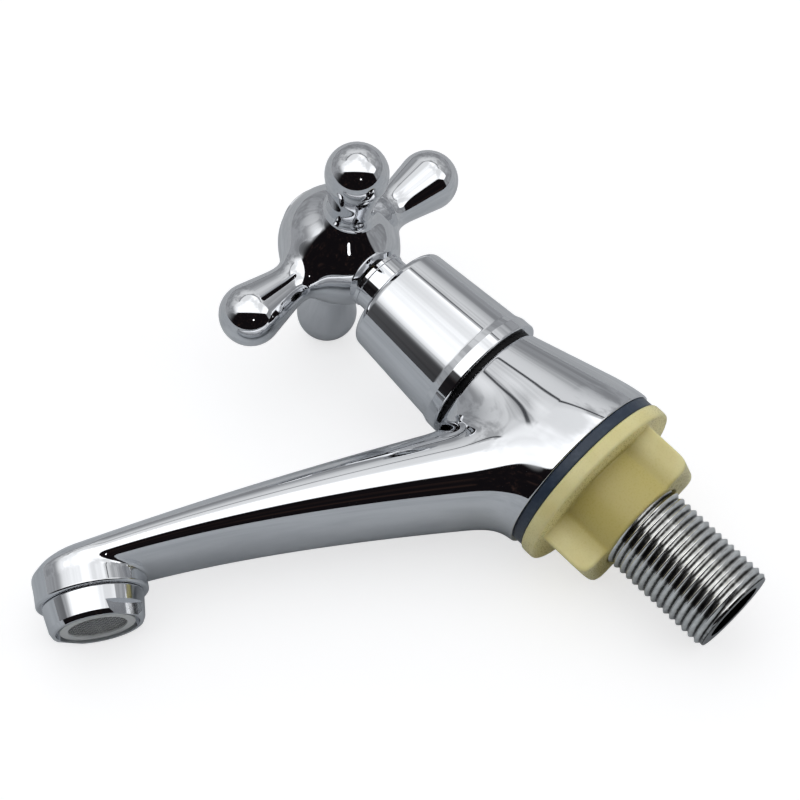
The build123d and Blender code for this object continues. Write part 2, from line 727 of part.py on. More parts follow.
with BuildPart() as handle:
    with BuildSketch(Plane.XZ):
        with BuildLine():
            neck_rim_radius = neck_rim_diameter / 2
            rim_bottom = neck_top - neck_rim_height / 2
            rim_top_level = neck_top + neck_rim_height / 2
            join_angle = degrees(acos((neck_rim_radius + neck_rim_height) / hub_radius))
            join_turn = radians(join_angle)
            join = (hub_radius * cos(join_turn), hub_centre - hub_under_drop * sin(join_turn))
            under_start = (hub_radius * sin(join_turn), hub_under_drop * cos(join_turn))
            foot_line = Line((0, neck_bottom), (neck_radius, neck_bottom))
            neck_line = Line(foot_line @ 1, (neck_radius, rim_bottom))
            rim_under = Line(neck_line @ 1, (neck_rim_radius, rim_bottom))
            rim_side = Line(rim_under @ 1, (neck_rim_radius, rim_top_level))
            rim_fillet = Line(rim_side @ 1, join)
            middle_turn = radians(join_angle / 2)
            under_middle = (hub_radius * cos(middle_turn), hub_centre - hub_under_drop * sin(middle_turn))
            equator = (hub_radius, hub_centre)
            Spline(rim_fillet @ 1, under_middle, equator, tangents=[under_start, (0, 1)])
            CenterArc((0, hub_centre), hub_radius, 0, 90)
            Line((0, hub_centre + hub_radius), (0, neck_bottom))
        make_face()
    revolve(axis=Axis.Z)
    for angle in arm_angles:
        heading = radians(angle)
        arm_plane = Plane(
            origin=(0, 0, arm_level),
            x_dir=(cos(heading), sin(heading), 0),
            z_dir=(sin(heading), -cos(heading), 0),
        )
        with BuildSketch(arm_plane):
            with BuildLine():
                start_line = Line((arm_start, 0), (arm_start, arm_start_radius))
                side = Line(start_line @ 1, (tangent_reach, tangent_radius))
                ball_turn = radians(40)
                ball_side = (arm_reach + ball_radius * cos(ball_turn), ball_radius * sin(ball_turn))
                cap_arc = ThreePointArc(side @ 1, ball_side, (arm_reach + ball_radius, 0))
                Line(cap_arc @ 1, start_line @ 0)
            make_face()
        revolve(axis=Axis((0, 0, arm_level), (cos(heading), sin(heading), 0)))
    roots = handle.edges().filter_by(
        lambda edge: hub_radius * 0.8 < hypot(edge.center().X, edge.center().Y) < hub_radius * 1.1
        and abs(edge.center().Z - arm_level) < hub_radius / 2
        and edge.length < hub_radius * 3
    )
    fillet(roots, arm_root_fillet)
    with BuildSketch(Plane.XY.offset(neck_bottom)):
        Circle(socket_radius)
    extrude(amount=hub_centre - handle_web / 2 - neck_bottom, mode=Mode.SUBTRACT)
    with BuildSketch(Plane.XY.offset(neck_bottom)):
        Circle(screw_hole_radius + assembly_fit)
    extrude(amount=web_top_level - neck_bottom, mode=Mode.SUBTRACT)
    with BuildSketch(Plane.XY.offset(web_top_level)):
        Circle(screw_head_diameter / 2 + moving_gap)
    extrude(amount=hub_radius, mode=Mode.SUBTRACT)
    with BuildSketch(Plane.XY.offset(cap_seat)):
        Circle(cap_radius)
    extrude(amount=hub_radius, mode=Mode.SUBTRACT)
handle.part.label = "handle"
export_step(handle.part, "parts/handle.step")

with BuildPart() as handle_screw:
    with BuildSketch(Plane.XY.offset(web_top_level)):
        Circle(screw_head_diameter / 2)
    extrude(amount=screw_head_height)
    fillet(handle_screw.faces().sort_by(Axis.Z)[-1].edges(), screw_head_height / 4)
    with BuildSketch(Plane.XY.offset(web_top_level)):
        Circle(screw_diameter / 2)
    extrude(amount=-screw_length)
    with BuildSketch(Plane.XY.offset(web_top_level + screw_head_height)):
        Rectangle(2 * screw_head_diameter, screw_slot_width)
        Rectangle(screw_slot_width, 2 * screw_head_diameter)
    extrude(amount=-screw_slot_depth, mode=Mode.SUBTRACT)
handle_screw.part.label = "handle_screw"
export_step(handle_screw.part, "parts/handle_screw.step")

# Plain index cap with a blue dot for cold water
cap_top = hub_centre + hub_radius + cap_proud
dot_radius = dot_diameter / 2

with BuildPart() as index_cap:
    with BuildSketch(Plane.XZ):
        with BuildLine():
            plug_radius = cap_radius - assembly_fit
            cap_edge_level = cap_seat + cap_plug_depth + cap_proud / 2
            middle_radius = plug_radius * 0.7
            dome_radius = hub_radius + cap_proud
            middle_level = hub_centre + sqrt(dome_radius**2 - middle_radius**2)
            seat_line = Line((0, cap_seat + face_gap), (plug_radius, cap_seat + face_gap))
            edge_line = Line(seat_line @ 1, (plug_radius, cap_edge_level))
            top_arc = ThreePointArc(edge_line @ 1, (middle_radius, middle_level), (0, cap_top))
            Line(top_arc @ 1, seat_line @ 0)
        make_face()
    revolve(axis=Axis.Z)
    with BuildSketch(Plane.XY.offset(cap_top - dot_depth)):
        Circle(dot_radius)
    extrude(amount=hub_radius, mode=Mode.SUBTRACT)
index_cap.part.label = "index_cap"
export_step(index_cap.part, "parts/index_cap.step")

with BuildPart() as index_dot:
    with BuildSketch(Plane.XY.offset(cap_top - dot_depth)):
        Circle(dot_radius - assembly_fit)
    extrude(amount=dot_depth)
    fillet(index_dot.faces().sort_by(Axis.Z)[-1].edges(), dot_depth / 4)
index_dot.part.label = "index_dot"
export_step(index_dot.part, "parts/index_dot.step")

# Aerator shell, screwed into the spout's head
aerator_radius = aerator_diameter / 2
aerator_foot_radius = aerator_foot_diameter / 2
mouth_radius = aerator_mouth_diameter / 2
lip_radius = mouth_radius - aerator_lip_width
lip_top = aerator_mouth_depth + aerator_lip_height
shell_bore_radius = aerator_thread_radius - aerator_wall
shoulder_level_aerator = head_skirt_height - face_gap

with BuildPart() as aerator_shell:
    with BuildSketch(outlet_profile_plane):
        with BuildLine():
            Polyline(
                (mouth_radius, 0),
                (aerator_foot_radius - aerator_edge, 0),
                (aerator_foot_radius, aerator_edge * 2),
                (aerator_radius, shoulder_level_aerator),
                (aerator_thread_radius, shoulder_level_aerator),
                (aerator_thread_radius, thread_top),
                (shell_bore_radius, thread_top),
                (shell_bore_radius, lip_top),
                (lip_radius, lip_top),
                (lip_radius, aerator_mouth_depth),
                (mouth_radius, aerator_mouth_depth),
                close=True,
            )
        make_face()
    revolve(axis=outlet_axis)
    with BuildSketch(outlet_plane(0)):
        flat_distance = aerator_foot_radius - aerator_flat_setback
        with PolarLocations(flat_distance + aerator_radius, 2, start_angle=aerator_flat_angle):
            Rectangle(2 * aerator_radius, 2 * aerator_radius)
    extrude(amount=aerator_flat_height, mode=Mode.SUBTRACT)
aerator_shell.part.label = "aerator_shell"
export_step(aerator_shell.part, "parts/aerator_shell.step")

with BuildPart() as aerator_seal:
    with BuildSketch(outlet_plane(aerator_seal_bottom)):
        Circle(aerator_thread_radius)
        Circle(aerator_thread_radius - aerator_seal_width, mode=Mode.SUBTRACT)
    extrude(amount=aerator_seal_height)
aerator_seal.part.label = "aerator_seal"
export_step(aerator_seal.part, "parts/aerator_seal.step")

# Cage that sits on the shell's lip and carries the diffuser and the mesh
cage_flange_radius = shell_bore_radius - assembly_fit
cage_nose_radius = lip_radius - assembly_fit
cage_mouth_radius = cage_mouth_diameter / 2
cage_bore_radius = cage_mouth_radius + loose_gap
cage_top = lip_top + cage_height
mesh_top = mesh_inset + mesh_thickness

with BuildPart() as aerator_cage:
    with BuildSketch(outlet_profile_plane):
        with BuildLine():
            Polyline(
                (cage_mouth_radius, cage_nose_inset),
                (cage_nose_radius, cage_nose_inset),
                (cage_nose_radius, lip_top + face_gap),
                (cage_flange_radius, lip_top + face_gap),
                (cage_flange_radius, lip_top + face_gap + cage_flange_height),
                (cage_nose_radius, lip_top + face_gap + cage_flange_height),
                (cage_nose_radius, cage_top),
                (cage_bore_radius, cage_top),
                (cage_bore_radius, mesh_top + face_gap),
                (cage_bore_radius, mesh_inset),
                (cage_mouth_radius, mesh_inset),
                close=True,
            )
        make_face()
    revolve(axis=outlet_axis)
aerator_cage.part.label = "aerator_cage"
export_step(aerator_cage.part, "parts/aerator_cage.step")

with BuildPart() as aerator_mesh:
    mesh_radius = cage_bore_radius - assembly_fit
    mesh_count = int(2 * (cage_mouth_radius - mesh_hole) / mesh_pitch)
    with BuildSketch(outlet_plane(mesh_inset + face_gap)):
        Circle(mesh_radius)
        with GridLocations(mesh_pitch, mesh_pitch, mesh_count, mesh_count) as grid:
            openings = [
                place for place in grid.local_locations
                if place.position.length < cage_mouth_radius - mesh_hole
            ]
        with Locations(*openings):
            Rectangle(mesh_hole, mesh_hole, mode=Mode.SUBTRACT)
    extrude(amount=mesh_thickness)
aerator_mesh.part.label = "aerator_mesh"
export_step(aerator_mesh.part, "parts/aerator_mesh.step")

with BuildPart() as flow_diffuser:
    with BuildSketch(outlet_plane(cage_top + face_gap)):
        Circle(cage_nose_radius)
        with PolarLocations(cage_bore_radius * 0.7, diffuser_holes):
            Circle(diffuser_hole_diameter / 2, mode=Mode.SUBTRACT)
        with PolarLocations(cage_bore_radius * 0.35, diffuser_holes // 2):
            Circle(diffuser_hole_diameter / 2, mode=Mode.SUBTRACT)
    extrude(amount=diffuser_thickness)
flow_diffuser.part.label = "flow_diffuser"
export_step(flow_diffuser.part, "parts/flow_diffuser.step")
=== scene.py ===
"""Dresses the cold water basin tap for its portrait.

Metres, in the tap's own frame: the shank and the spindle lie along +Z and the spout
reaches out along -Y. The tap lies on a pale table, on its handle, its nut and its
outlet, inside a small light tent that is open towards the camera.
"""
import logging
import math
from collections.abc import Callable, Sequence
from dataclasses import dataclass
from enum import Enum
from typing import Protocol

import bmesh
import bpy
import numpy as np
from mathutils import Matrix, Vector


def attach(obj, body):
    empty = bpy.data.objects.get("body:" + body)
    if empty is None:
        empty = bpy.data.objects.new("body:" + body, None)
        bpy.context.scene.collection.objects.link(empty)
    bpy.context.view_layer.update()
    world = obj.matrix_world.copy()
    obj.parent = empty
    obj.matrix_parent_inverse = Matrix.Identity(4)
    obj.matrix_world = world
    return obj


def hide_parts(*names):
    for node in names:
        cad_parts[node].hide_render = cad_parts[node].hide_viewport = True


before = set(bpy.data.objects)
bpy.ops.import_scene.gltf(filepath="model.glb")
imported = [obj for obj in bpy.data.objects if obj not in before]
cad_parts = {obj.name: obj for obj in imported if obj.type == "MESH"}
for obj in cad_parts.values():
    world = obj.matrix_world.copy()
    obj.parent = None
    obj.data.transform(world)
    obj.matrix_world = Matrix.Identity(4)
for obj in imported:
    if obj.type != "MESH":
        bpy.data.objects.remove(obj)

Colour = tuple[float, float, float]
Triple = tuple[float, float, float]
Points = np.ndarray
Field = Callable[[Points], Points]
Node = bpy.types.Node
Socket = bpy.types.NodeSocket

log = logging.getLogger("tap")
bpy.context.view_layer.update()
MILLIMETRE = 0.001
# The middle of the outlet's mouth, and how far the outlet's axis leans back from upright.
OUTLET = (0.0, -99.2, 49.6)
OUTLET_TILT = 31.8
# Which way is up for the table that the tap lies on, and the way to the camera.
TABLE_UP = (0.9641, 0.2013, 0.1734)
TO_CAMERA = (0.933, -0.2474, -0.2612)
TURNED_SIDES = 144
ARC_STEP = math.radians(9.0)
# How far from its seam a fillet starts, as a multiple of its radius.
FILLET_REACH = 1.75
# How far a soft form's grid reaches past the form.
MARGIN = 1.0


class Slot(Enum):
    """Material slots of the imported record."""

    CHROME = "chrome"
    NICKEL = "dull_nickel"
    NAVY_RUBBER = "navy_rubber"
    BLACK_RUBBER = "black_rubber"
    IVORY_PLASTIC = "ivory_plastic"
    CERAMIC = "ceramic"
    BRASS = "brass"
    SLIP_PLASTIC = "slip_plastic"
    STEEL = "steel"
    GREY_PLASTIC = "grey_plastic"
    BLUE_PLASTIC = "blue_plastic"


class Body(Enum):
    """Bodies that the pieces ride on."""

    TAP = "tap"
    HANDLE = "handle"
    NUT = "nut"


class Graph:
    """A node tree with short calls for the nodes that the finishes share."""

    def __init__(self, tree: bpy.types.NodeTree) -> None:
        """Empty the tree and keep it.

        Args:
            tree: The material's or the world's node tree.
        """
        self.tree = tree
        self.tree.nodes.clear()

    def node(self, kind: str, **settings: object) -> Node:
        """Add a node.

        Args:
            kind: The node's type name.
            **settings: Attributes to set on the node.

        Returns:
            The new node.
        """
        made = self.tree.nodes.new(kind)
        for name, value in settings.items():
            setattr(made, name, value)
        return made

    def feed(self, socket: Socket, source: object) -> None:
        """Link a socket to another one, or set its value.

        Args:
            socket: The input socket.
            source: An output socket, a number, or a colour or vector.
        """
        if isinstance(source, Socket):
            self.tree.links.new(source, socket)
        elif socket.type == "RGBA" and len(source) == 3:
            socket.default_value = (*source, 1.0)
        else:
            socket.default_value = source

    def wire(self, node: Node, sources: dict[str, object]) -> None:
        """Feed some of a node's named inputs.

        Args:
            node: The node.
            sources: What goes into each input.
        """
        for name, source in sources.items():
            self.feed(node.inputs[name], source)

    def join(self, kind: str, *sources: object, **settings: object) -> Socket:
        """Add a node and feed its first inputs in their order.

        Args:
            kind: The node's type name.
            *sources: What goes into each input.
            **settings: Attributes to set on the node.

        Returns:
            The node's first output.
        """
        made = self.node(kind, **settings)
        for socket, source in zip(made.inputs, sources):
            self.feed(socket, source)
        return made.outputs[0]

    def math(self, operation: str, first: object, second: object = 0.0) -> Socket:
        """Join two values by one operation.

        Args:
            operation: The math node's operation.
            first: Its first input.
            second: Its second input.

        Returns:
            The result's socket.
        """
        return self.join("ShaderNodeMath", first, second, operation=operation)

    def dot(self, vector: Socket, axis: Triple) -> Socket:
        """Take a vector's share along an axis.

        Args:
            vector: The vector's socket.
            axis: A unit vector.

        Returns:
            The socket of the dot product.
        """
        made = self.node("ShaderNodeVectorMath", operation="DOT_PRODUCT")
        self.feed(made.inputs[0], vector)
        self.feed(made.inputs[1], axis)
        return made.outputs["Value"]

    def ramp(self, value: object, low: float, high: float,
             to_low: float = 0.0, to_high: float = 1.0) -> Socket:
        """Turn a value smoothly from one level to another between two limits.

        Args:
            value: The value's socket.
            low: Where the turn starts.
            high: Where it ends.
            to_low: The level at the start.
            to_high: The level at the end.

        Returns:
            The result's socket.
        """
        return self.join("ShaderNodeMapRange", value, low, high, to_low, to_high,
                         interpolation_type="SMOOTHSTEP")

    def band(self, value: object, enter: Sequence[object], leave: Sequence[object]) -> Socket:
        """Give one inside a band of values, with soft edges, and zero outside it.

        Args:
            value: The value's socket.
            enter: Where the first edge starts and ends.
            leave: Where the second edge starts and ends.

        Returns:
            The result's socket.
        """
        return self.math("MULTIPLY", self.ramp(value, *enter), self.ramp(value, *leave, 1.0, 0.0))

    def mix(self, share: object, first: object, second: object) -> Socket:
        """Mix two colours.

        Args:
            share: How much of the second colour shows.
            first: The first colour.
            second: The second colour.

        Returns:
            The mixed colour's socket.
        """
        made = self.node("ShaderNodeMix", data_type="RGBA")
        self.feed(made.inputs[0], share)
        self.feed(made.inputs[6], first)
        self.feed(made.inputs[7], second)
        return made.outputs[2]

    def blend(self, share: object, first: object, second: object) -> Socket:
        """Mix two numbers.

        Args:
            share: How much of the second number counts.
            first: The first number.
            second: The second number.

        Returns:
            The mixed number's socket.
        """
        made = self.node("ShaderNodeMix", data_type="FLOAT")
        self.feed(made.inputs[0], share)
        self.feed(made.inputs[2], first)
        self.feed(made.inputs[3], second)
        return made.outputs[0]

    def place(self) -> Socket:
        """Give a point's place in the object's own frame."""
        return self.node("ShaderNodeTexCoord").outputs["Object"]

    def off_axis(self) -> Socket:
        """Give a point's distance from the tap's own axis."""
        parts = self.node("ShaderNodeSeparateXYZ")
        self.feed(parts.inputs[0], self.place())
        squares = [self.math("MULTIPLY", part, part) for part in parts.outputs[:2]]
        return self.math("SQRT", self.math("ADD", *squares))

    def noise(self, scale: float, detail: float = 3.0, stretch: Triple = (1.0, 1.0, 1.0),
              roughness: float = 0.5, place: Socket | None = None) -> Socket:
        """Add a noise field that is fixed to the object.

        Args:
            scale: Features per metre.
            detail: Octaves of finer noise.
            stretch: Scale along each axis.
            roughness: Weight of the finer octaves.
            place: Where the noise is read, or None for the object's own frame.

        Returns:
            The noise's value socket.
        """
        mapping = self.node("ShaderNodeMapping")
        self.wire(mapping, {"Vector": self.place() if place is None else place, "Scale": stretch})
        made = self.node("ShaderNodeTexNoise")
        self.wire(made, {"Vector": mapping.outputs[0], "Scale": scale, "Detail": detail,
                         "Roughness": roughness})
        return made.outputs["Fac"]

    def bump(self, height: object, depth: float) -> Socket:
        """Turn a height field into a surface normal.

        Args:
            height: The height's socket, from 0 to 1.
            depth: The relief's real depth.

        Returns:
            The normal's socket.
        """
        made = self.node("ShaderNodeBump")
        self.wire(made, {"Distance": depth, "Height": height})
        return made.outputs[0]


@dataclass(frozen=True)
class Finish:
    """A surface finish, made once as a material and shared by its pieces."""

    name: str
    slot: Slot

    def material(self) -> bpy.types.Material:
        """Make the finish's material, or give the one that is there.

        Returns:
            The material.
        """
        found = bpy.data.materials.get(self.name)
        if found is not None:
            return found
        made = bpy.data.materials.new(self.name)
        made.use_nodes = True
        graph = Graph(made.node_tree)
        shader = graph.node("ShaderNodeBsdfPrincipled")
        self.paint(graph, shader)
        output = graph.node("ShaderNodeOutputMaterial")
        graph.feed(output.inputs["Surface"], shader.outputs[0])
        return made

    def paint(self, graph: Graph, shader: Node) -> None:
        """Set the shader's inputs.

        Args:
            graph: The material's node graph.
            shader: Its principled shader.
        """
        raise NotImplementedError

    @staticmethod
    def worn(graph: Graph, marks: Socket, smooth: float, rough: float,
             depth: float) -> dict[str, Socket]:
        """Let the roughness and the relief follow the same marks.

        Args:
            graph: The material's node graph.
            marks: The marks' socket.
            smooth: The roughness between the marks.
            rough: The roughness on them.
            depth: The relief's real depth.

        Returns:
            What goes into the shader's two inputs.
        """
        return {"Roughness": graph.ramp(marks, 0.3, 0.8, smooth, rough),
                "Normal": graph.bump(marks, depth)}

    @staticmethod
    def underlay(graph: Graph, shader: Node, share: Socket, under: Colour) -> None:
        """Let another colour show where the shader's own one counts less.

        Args:
            graph: The material's node graph.
            shader: Its principled shader.
            share: How much of the shader's own colour shows.
            under: The other colour.
        """
        own = shader.inputs["Base Color"].links[0].from_socket
        graph.feed(shader.inputs["Base Color"], graph.mix(share, under, own))

    def dress(self, piece: bpy.types.Object) -> None:
        """Give a piece this finish.

        Args:
            piece: The mesh object.
        """
        piece.data.materials.clear()
        piece.data.materials.append(self.material())


@dataclass(frozen=True)
class ChromePlate(Finish):
    """Bright chrome over a polished casting, with faint waviness and wiping marks."""

    tint: Colour = (0.80, 0.81, 0.83)
    darkening: float = 0.95
    roughness: float = 0.035
    haze: float = 0.05
    shade_scale: float = 60.0
    mark_scale: float = 900.0
    wave_scale: float = 190.0
    wave_depth: float = 0.000004

    def paint(self, graph: Graph, shader: Node) -> None:
        """Set the shader's inputs, as in Finish."""
        shade = graph.ramp(graph.noise(self.shade_scale, 4.0), 0.3, 0.7)
        darker = tuple(channel * self.darkening for channel in self.tint)
        marks = graph.noise(self.mark_scale, 6.0, (1.0, 1.0, 0.15), 0.7)
        haze = graph.ramp(marks, 0.55, 0.85, self.roughness, self.roughness + self.haze)
        waves = graph.bump(graph.noise(self.wave_scale, 1.0), self.wave_depth)
        graph.wire(shader, {"Base Color": graph.mix(shade, darker, self.tint), "Metallic": 1.0,
                            "Roughness": haze, "Normal": waves})


@dataclass(frozen=True)
class TurnedMetal(Finish):
    """Turned or cut metal with fine tool marks round the tap's axis."""

    tint: Colour = (0.56, 0.55, 0.52)
    darkening: float = 0.72
    roughness: float = 0.28
    stain_scale: float = 420.0
    mark_scale: float = 5200.0
    mark_depth: float = 0.000006

    def paint(self, graph: Graph, shader: Node) -> None:
        """Set the shader's inputs, as in Finish."""
        stain = graph.ramp(graph.noise(self.stain_scale, 5.0), 0.35, 0.75)
        dull = tuple(channel * self.darkening for channel in self.tint)
        marks = graph.noise(self.mark_scale, 3.0, (0.06, 0.06, 1.0))
        smooth, rough = self.roughness * 0.8, self.roughness * 1.35
        graph.wire(shader, {"Base Color": graph.mix(stain, self.tint, dull), "Metallic": 1.0,
                            **self.worn(graph, marks, smooth, rough, self.mark_depth)})


@dataclass(frozen=True)
class ThreadedMetal(TurnedMetal):
    """Plated thread, nearly white on the crests as a painted highlight and nearly black in the
    grooves as painted shade.
    """

    # Near-black painted shade for the grooves, and the flanks' grey below the crests' painted
    # highlight.
    groove_shade: Colour = (0.030, 0.029, 0.027)
    flank: Colour = (0.66, 0.66, 0.65)
    groove_radius: float = 0.00978
    flank_radius: float = 0.01002
    crest_radius: float = 0.01037
    ragged_scale: float = 1500.0
    ragged_width: float = 0.0003

    def paint(self, graph: Graph, shader: Node) -> None:
        """Set the shader's inputs, as in Finish."""
        super().paint(graph, shader)
        centred = graph.math("SUBTRACT", graph.noise(self.ragged_scale, 4.0), 0.5)
        ragged = graph.math("MULTIPLY", centred, self.ragged_width)
        off = graph.math("ADD", graph.off_axis(), ragged)
        # Painted shade darkens the grooves and a painted highlight brightens the crests above the
        # grey flanks.
        for low, high, under in ((self.flank_radius, self.crest_radius, self.flank),
                                 (self.groove_radius, self.flank_radius, self.groove_shade)):
            self.underlay(graph, shader, graph.ramp(off, low, high), under)


@dataclass(frozen=True)
class MouldedPlastic(Finish):
    """Moulded plastic with a faint mottle, a fine grain and a little light inside."""

    tint: Colour = (0.90, 0.82, 0.43)
    deep_tint: Colour = (0.84, 0.75, 0.35)
    roughness: float = 0.30
    mottle_scale: float = 160.0
    grain_scale: float = 2400.0
    grain_depth: float = 0.000004
    glow: float = 0.0
    glow_depth: float = 0.002
    shine: float = 0.35

    def paint(self, graph: Graph, shader: Node) -> None:
        """Set the shader's inputs, as in Finish."""
        mottle = graph.ramp(graph.noise(self.mottle_scale, 4.0), 0.3, 0.75)
        grain = graph.noise(self.grain_scale, 4.0)
        smooth, rough = self.roughness * 0.85, self.roughness * 1.2
        graph.wire(shader, {"Base Color": graph.mix(mottle, self.tint, self.deep_tint),
                            **self.worn(graph, grain, smooth, rough, self.grain_depth),
                            "Specular IOR Level": self.shine, "Subsurface Weight": self.glow,
                            "Subsurface Radius": (1.0, 0.8, 0.4),
                            "Subsurface Scale": self.glow_depth})


@dataclass(frozen=True)
class NutPlastic(MouldedPlastic):
    """Ivory plastic with painted shade, a deeper colour where the nut's wings meet its hub."""

    # Painted shade for the recess between the wings and the hub.
    recess_shade: Colour = (0.62, 0.53, 0.19)
    recess_radius: float = 0.0128
    open_radius: float = 0.0168

    def paint(self, graph: Graph, shader: Node) -> None:
        """Set the shader's inputs, as in Finish."""
        super().paint(graph, shader)
        # Painted shade: deeper colour near the hub, fading out towards the wings' outer parts.
        in_open = graph.ramp(graph.off_axis(), self.recess_radius, self.open_radius)
        self.underlay(graph, shader, in_open, self.recess_shade)


@dataclass(frozen=True)
class Rubber(Finish):
    """Moulded rubber with a soft sheen and a dusty grain."""

    tint: Colour = (0.020, 0.036, 0.066)
    dust_tint: Colour = (0.045, 0.068, 0.105)
    roughness: float = 0.42
    dust_scale: float = 700.0
    grain_scale: float = 3000.0
    grain_depth: float = 0.000012
    sheen: float = 0.15
    sheen_roughness: float = 0.4
    shine: float = 0.5

    def paint(self, graph: Graph, shader: Node) -> None:
        """Set the shader's inputs, as in Finish."""
        dust = graph.ramp(graph.noise(self.dust_scale, 6.0, roughness=0.65), 0.42, 0.8)
        grain = graph.noise(self.grain_scale, 3.0)
        smooth, rough = self.roughness * 0.85, self.roughness * 1.25
        graph.wire(shader, {"Base Color": graph.mix(dust, self.tint, self.dust_tint),
                            **self.worn(graph, grain, smooth, rough, self.grain_depth),
                            "Specular IOR Level": self.shine, "Sheen Weight": self.sheen,
                            "Sheen Roughness": self.sheen_roughness})


CHROME = ChromePlate("chrome_plate", Slot.CHROME)
# The nearly white tint, which shows on the thread's crests, is a painted highlight.
NICKEL = ThreadedMetal("dull_nickel_plate", Slot.NICKEL, tint=(0.97, 0.97, 0.96),
                       roughness=0.15)
NAVY_RUBBER = Rubber("navy_washer_rubber", Slot.NAVY_RUBBER)
BLACK_RUBBER = Rubber("black_seal_rubber", Slot.BLACK_RUBBER, tint=(0.008, 0.008, 0.009),
                      dust_tint=(0.022, 0.022, 0.024), roughness=0.5)
# Near-black with no sheen: painted shade for the gap below the sleeve, a shaded copy of the black
# rubber.
GAP_SHADE_BLACK = Rubber("painted_gap_shade", Slot.BLACK_RUBBER, tint=(0.003, 0.003, 0.0035),
                       dust_tint=(0.008, 0.008, 0.009), roughness=0.55, sheen=0.0, shine=0.2)
IVORY_PLASTIC = NutPlastic("ivory_nut_plastic", Slot.IVORY_PLASTIC, glow=0.25,
                           grain_depth=0.0000012)
GREY_PLASTIC = MouldedPlastic("grey_insert_plastic", Slot.GREY_PLASTIC, tint=(0.74, 0.76, 0.76),
                              deep_tint=(0.62, 0.64, 0.64), roughness=0.4)
# A shaded copy of the grey insert plastic: the diffuser behind the mesh is painted nearly black as
# shade.
DIFFUSER_SHADE_PLASTIC = MouldedPlastic("diffuser_painted_shade", Slot.GREY_PLASTIC,
                              tint=(0.035, 0.036, 0.037), deep_tint=(0.02, 0.021, 0.022),
                              roughness=0.4)
SLIP_PLASTIC = MouldedPlastic("slip_washer_plastic", Slot.SLIP_PLASTIC, tint=(0.78, 0.78, 0.74),
                              deep_tint=(0.70, 0.70, 0.66), roughness=0.5)
BLUE_PLASTIC = MouldedPlastic("blue_dot_plastic", Slot.BLUE_PLASTIC, tint=(0.02, 0.12, 0.50),
                              deep_tint=(0.015, 0.09, 0.40), roughness=0.25)
CERAMIC = MouldedPlastic("fired_ceramic", Slot.CERAMIC, tint=(0.86, 0.85, 0.82),
                         deep_tint=(0.80, 0.79, 0.75), roughness=0.18)
BRASS = TurnedMetal("turned_brass", Slot.BRASS, tint=(0.72, 0.52, 0.22), roughness=0.24)
STEEL = TurnedMetal("drawn_steel", Slot.STEEL, tint=(0.76, 0.76, 0.75), roughness=0.2)


@dataclass(frozen=True)
class Bench:
    """A place on the tap with an axis of its own, in millimetres."""

    origin: Triple = (0.0, 0.0, 0.0)
    tilt: float = 0.0

    def axes(self) -> Points:
        """Give the place's three directions, one in each row, the axis last."""
        lean = math.radians(self.tilt)
        return np.array(((1.0, 0.0, 0.0),
                         (0.0, math.cos(lean), -math.sin(lean)),
                         (0.0, math.sin(lean), math.cos(lean))))

    def place(self, local: Points) -> Points:
        """Turn local points into the tap's own."""
        return np.asarray(self.origin) + local @ self.axes()

    def aim(self, local: Points) -> Points:
        """Turn local directions into the tap's own."""
        return local @ self.axes()

    def local(self, points: Points) -> Points:
        """Turn the tap's points into local ones."""
        return (points - np.asarray(self.origin)) @ self.axes().T


def unit(vectors: Points) -> Points:
    """Give vectors the length of one."""
    return vectors / np.maximum(np.linalg.norm(vectors, axis=-1, keepdims=True), 1e-12)


def soft_union(first: Points, second: Points, radius: float) -> Points:
    """Join two forms with a fillet between them.

    Args:
        first: Distances to the first form, negative inside it.
        second: Distances to the second form.
        radius: The fillet's radius.

    Returns:
        Distances to the joined form.
    """
    reach = FILLET_REACH * radius
    overlap = np.maximum(reach - np.abs(first - second), 0.0) / reach
    return np.minimum(first, second) - overlap ** 3 * reach / 6.0


def soft_cut(first: Points, second: Points, radius: float) -> Points:
    """Keep what two forms share, with a rounded edge.

    Args:
        first: Distances to the first form, negative inside it.
        second: Distances to the second form.
        radius: The edge's radius.

    Returns:
        Distances to the shared form.
    """
    return -soft_union(-first, -second, radius)


def profile_runs(corners: Sequence[Sequence[float]], closed: bool) -> list[tuple[Points, Points]]:
    """Split a turned profile into smooth runs, each with its own normals.

    Args:
        corners: Radius, level and, if it has one, rounding of each corner. The form lies
            to the left of the way that they go.
        closed: Whether the last corner goes back to the first.

    Returns:
        Points and normals of each run, as radius and level.
    """
    spots = np.array([corner[:2] for corner in corners])
    rounding = [corner[2] if len(corner) > 2 else 0.0 for corner in corners]
    count = len(corners)
    sides = count if closed else count - 1
    ahead = [unit(spots[(index + 1) % count] - spots[index]) for index in range(sides)]
    starts, ends, arcs = spots.copy(), spots.copy(), {}
    for index in range(count):
        if rounding[index] == 0.0:
            continue
        before, after = ahead[index - 1], ahead[index]
        turn = math.atan2(before[0] * after[1] - before[1] * after[0], before @ after)
        trim = rounding[index] * math.tan(abs(turn) / 2)
        ends[index], starts[index] = spots[index] - before * trim, spots[index] + after * trim
        side = math.copysign(1.0, turn)
        centre = ends[index] - side * rounding[index] * np.array((before[1], -before[0]))
        turns = np.linspace(0.0, turn, max(3, math.ceil(abs(turn) / ARC_STEP)) + 1)
        facing = np.stack((before[1] * np.cos(turns) + before[0] * np.sin(turns),
                           before[1] * np.sin(turns) - before[0] * np.cos(turns)), axis=1)
        arcs[index] = (centre + side * rounding[index] * facing, facing)
    runs = []
    for index in range(sides):
        after = (index + 1) % count
        facing = np.array((ahead[index][1], -ahead[index][0]))
        runs.append((np.stack((starts[index], ends[after])), np.stack((facing, facing))))
        if after in arcs:
            runs.append(arcs[after])
    return runs


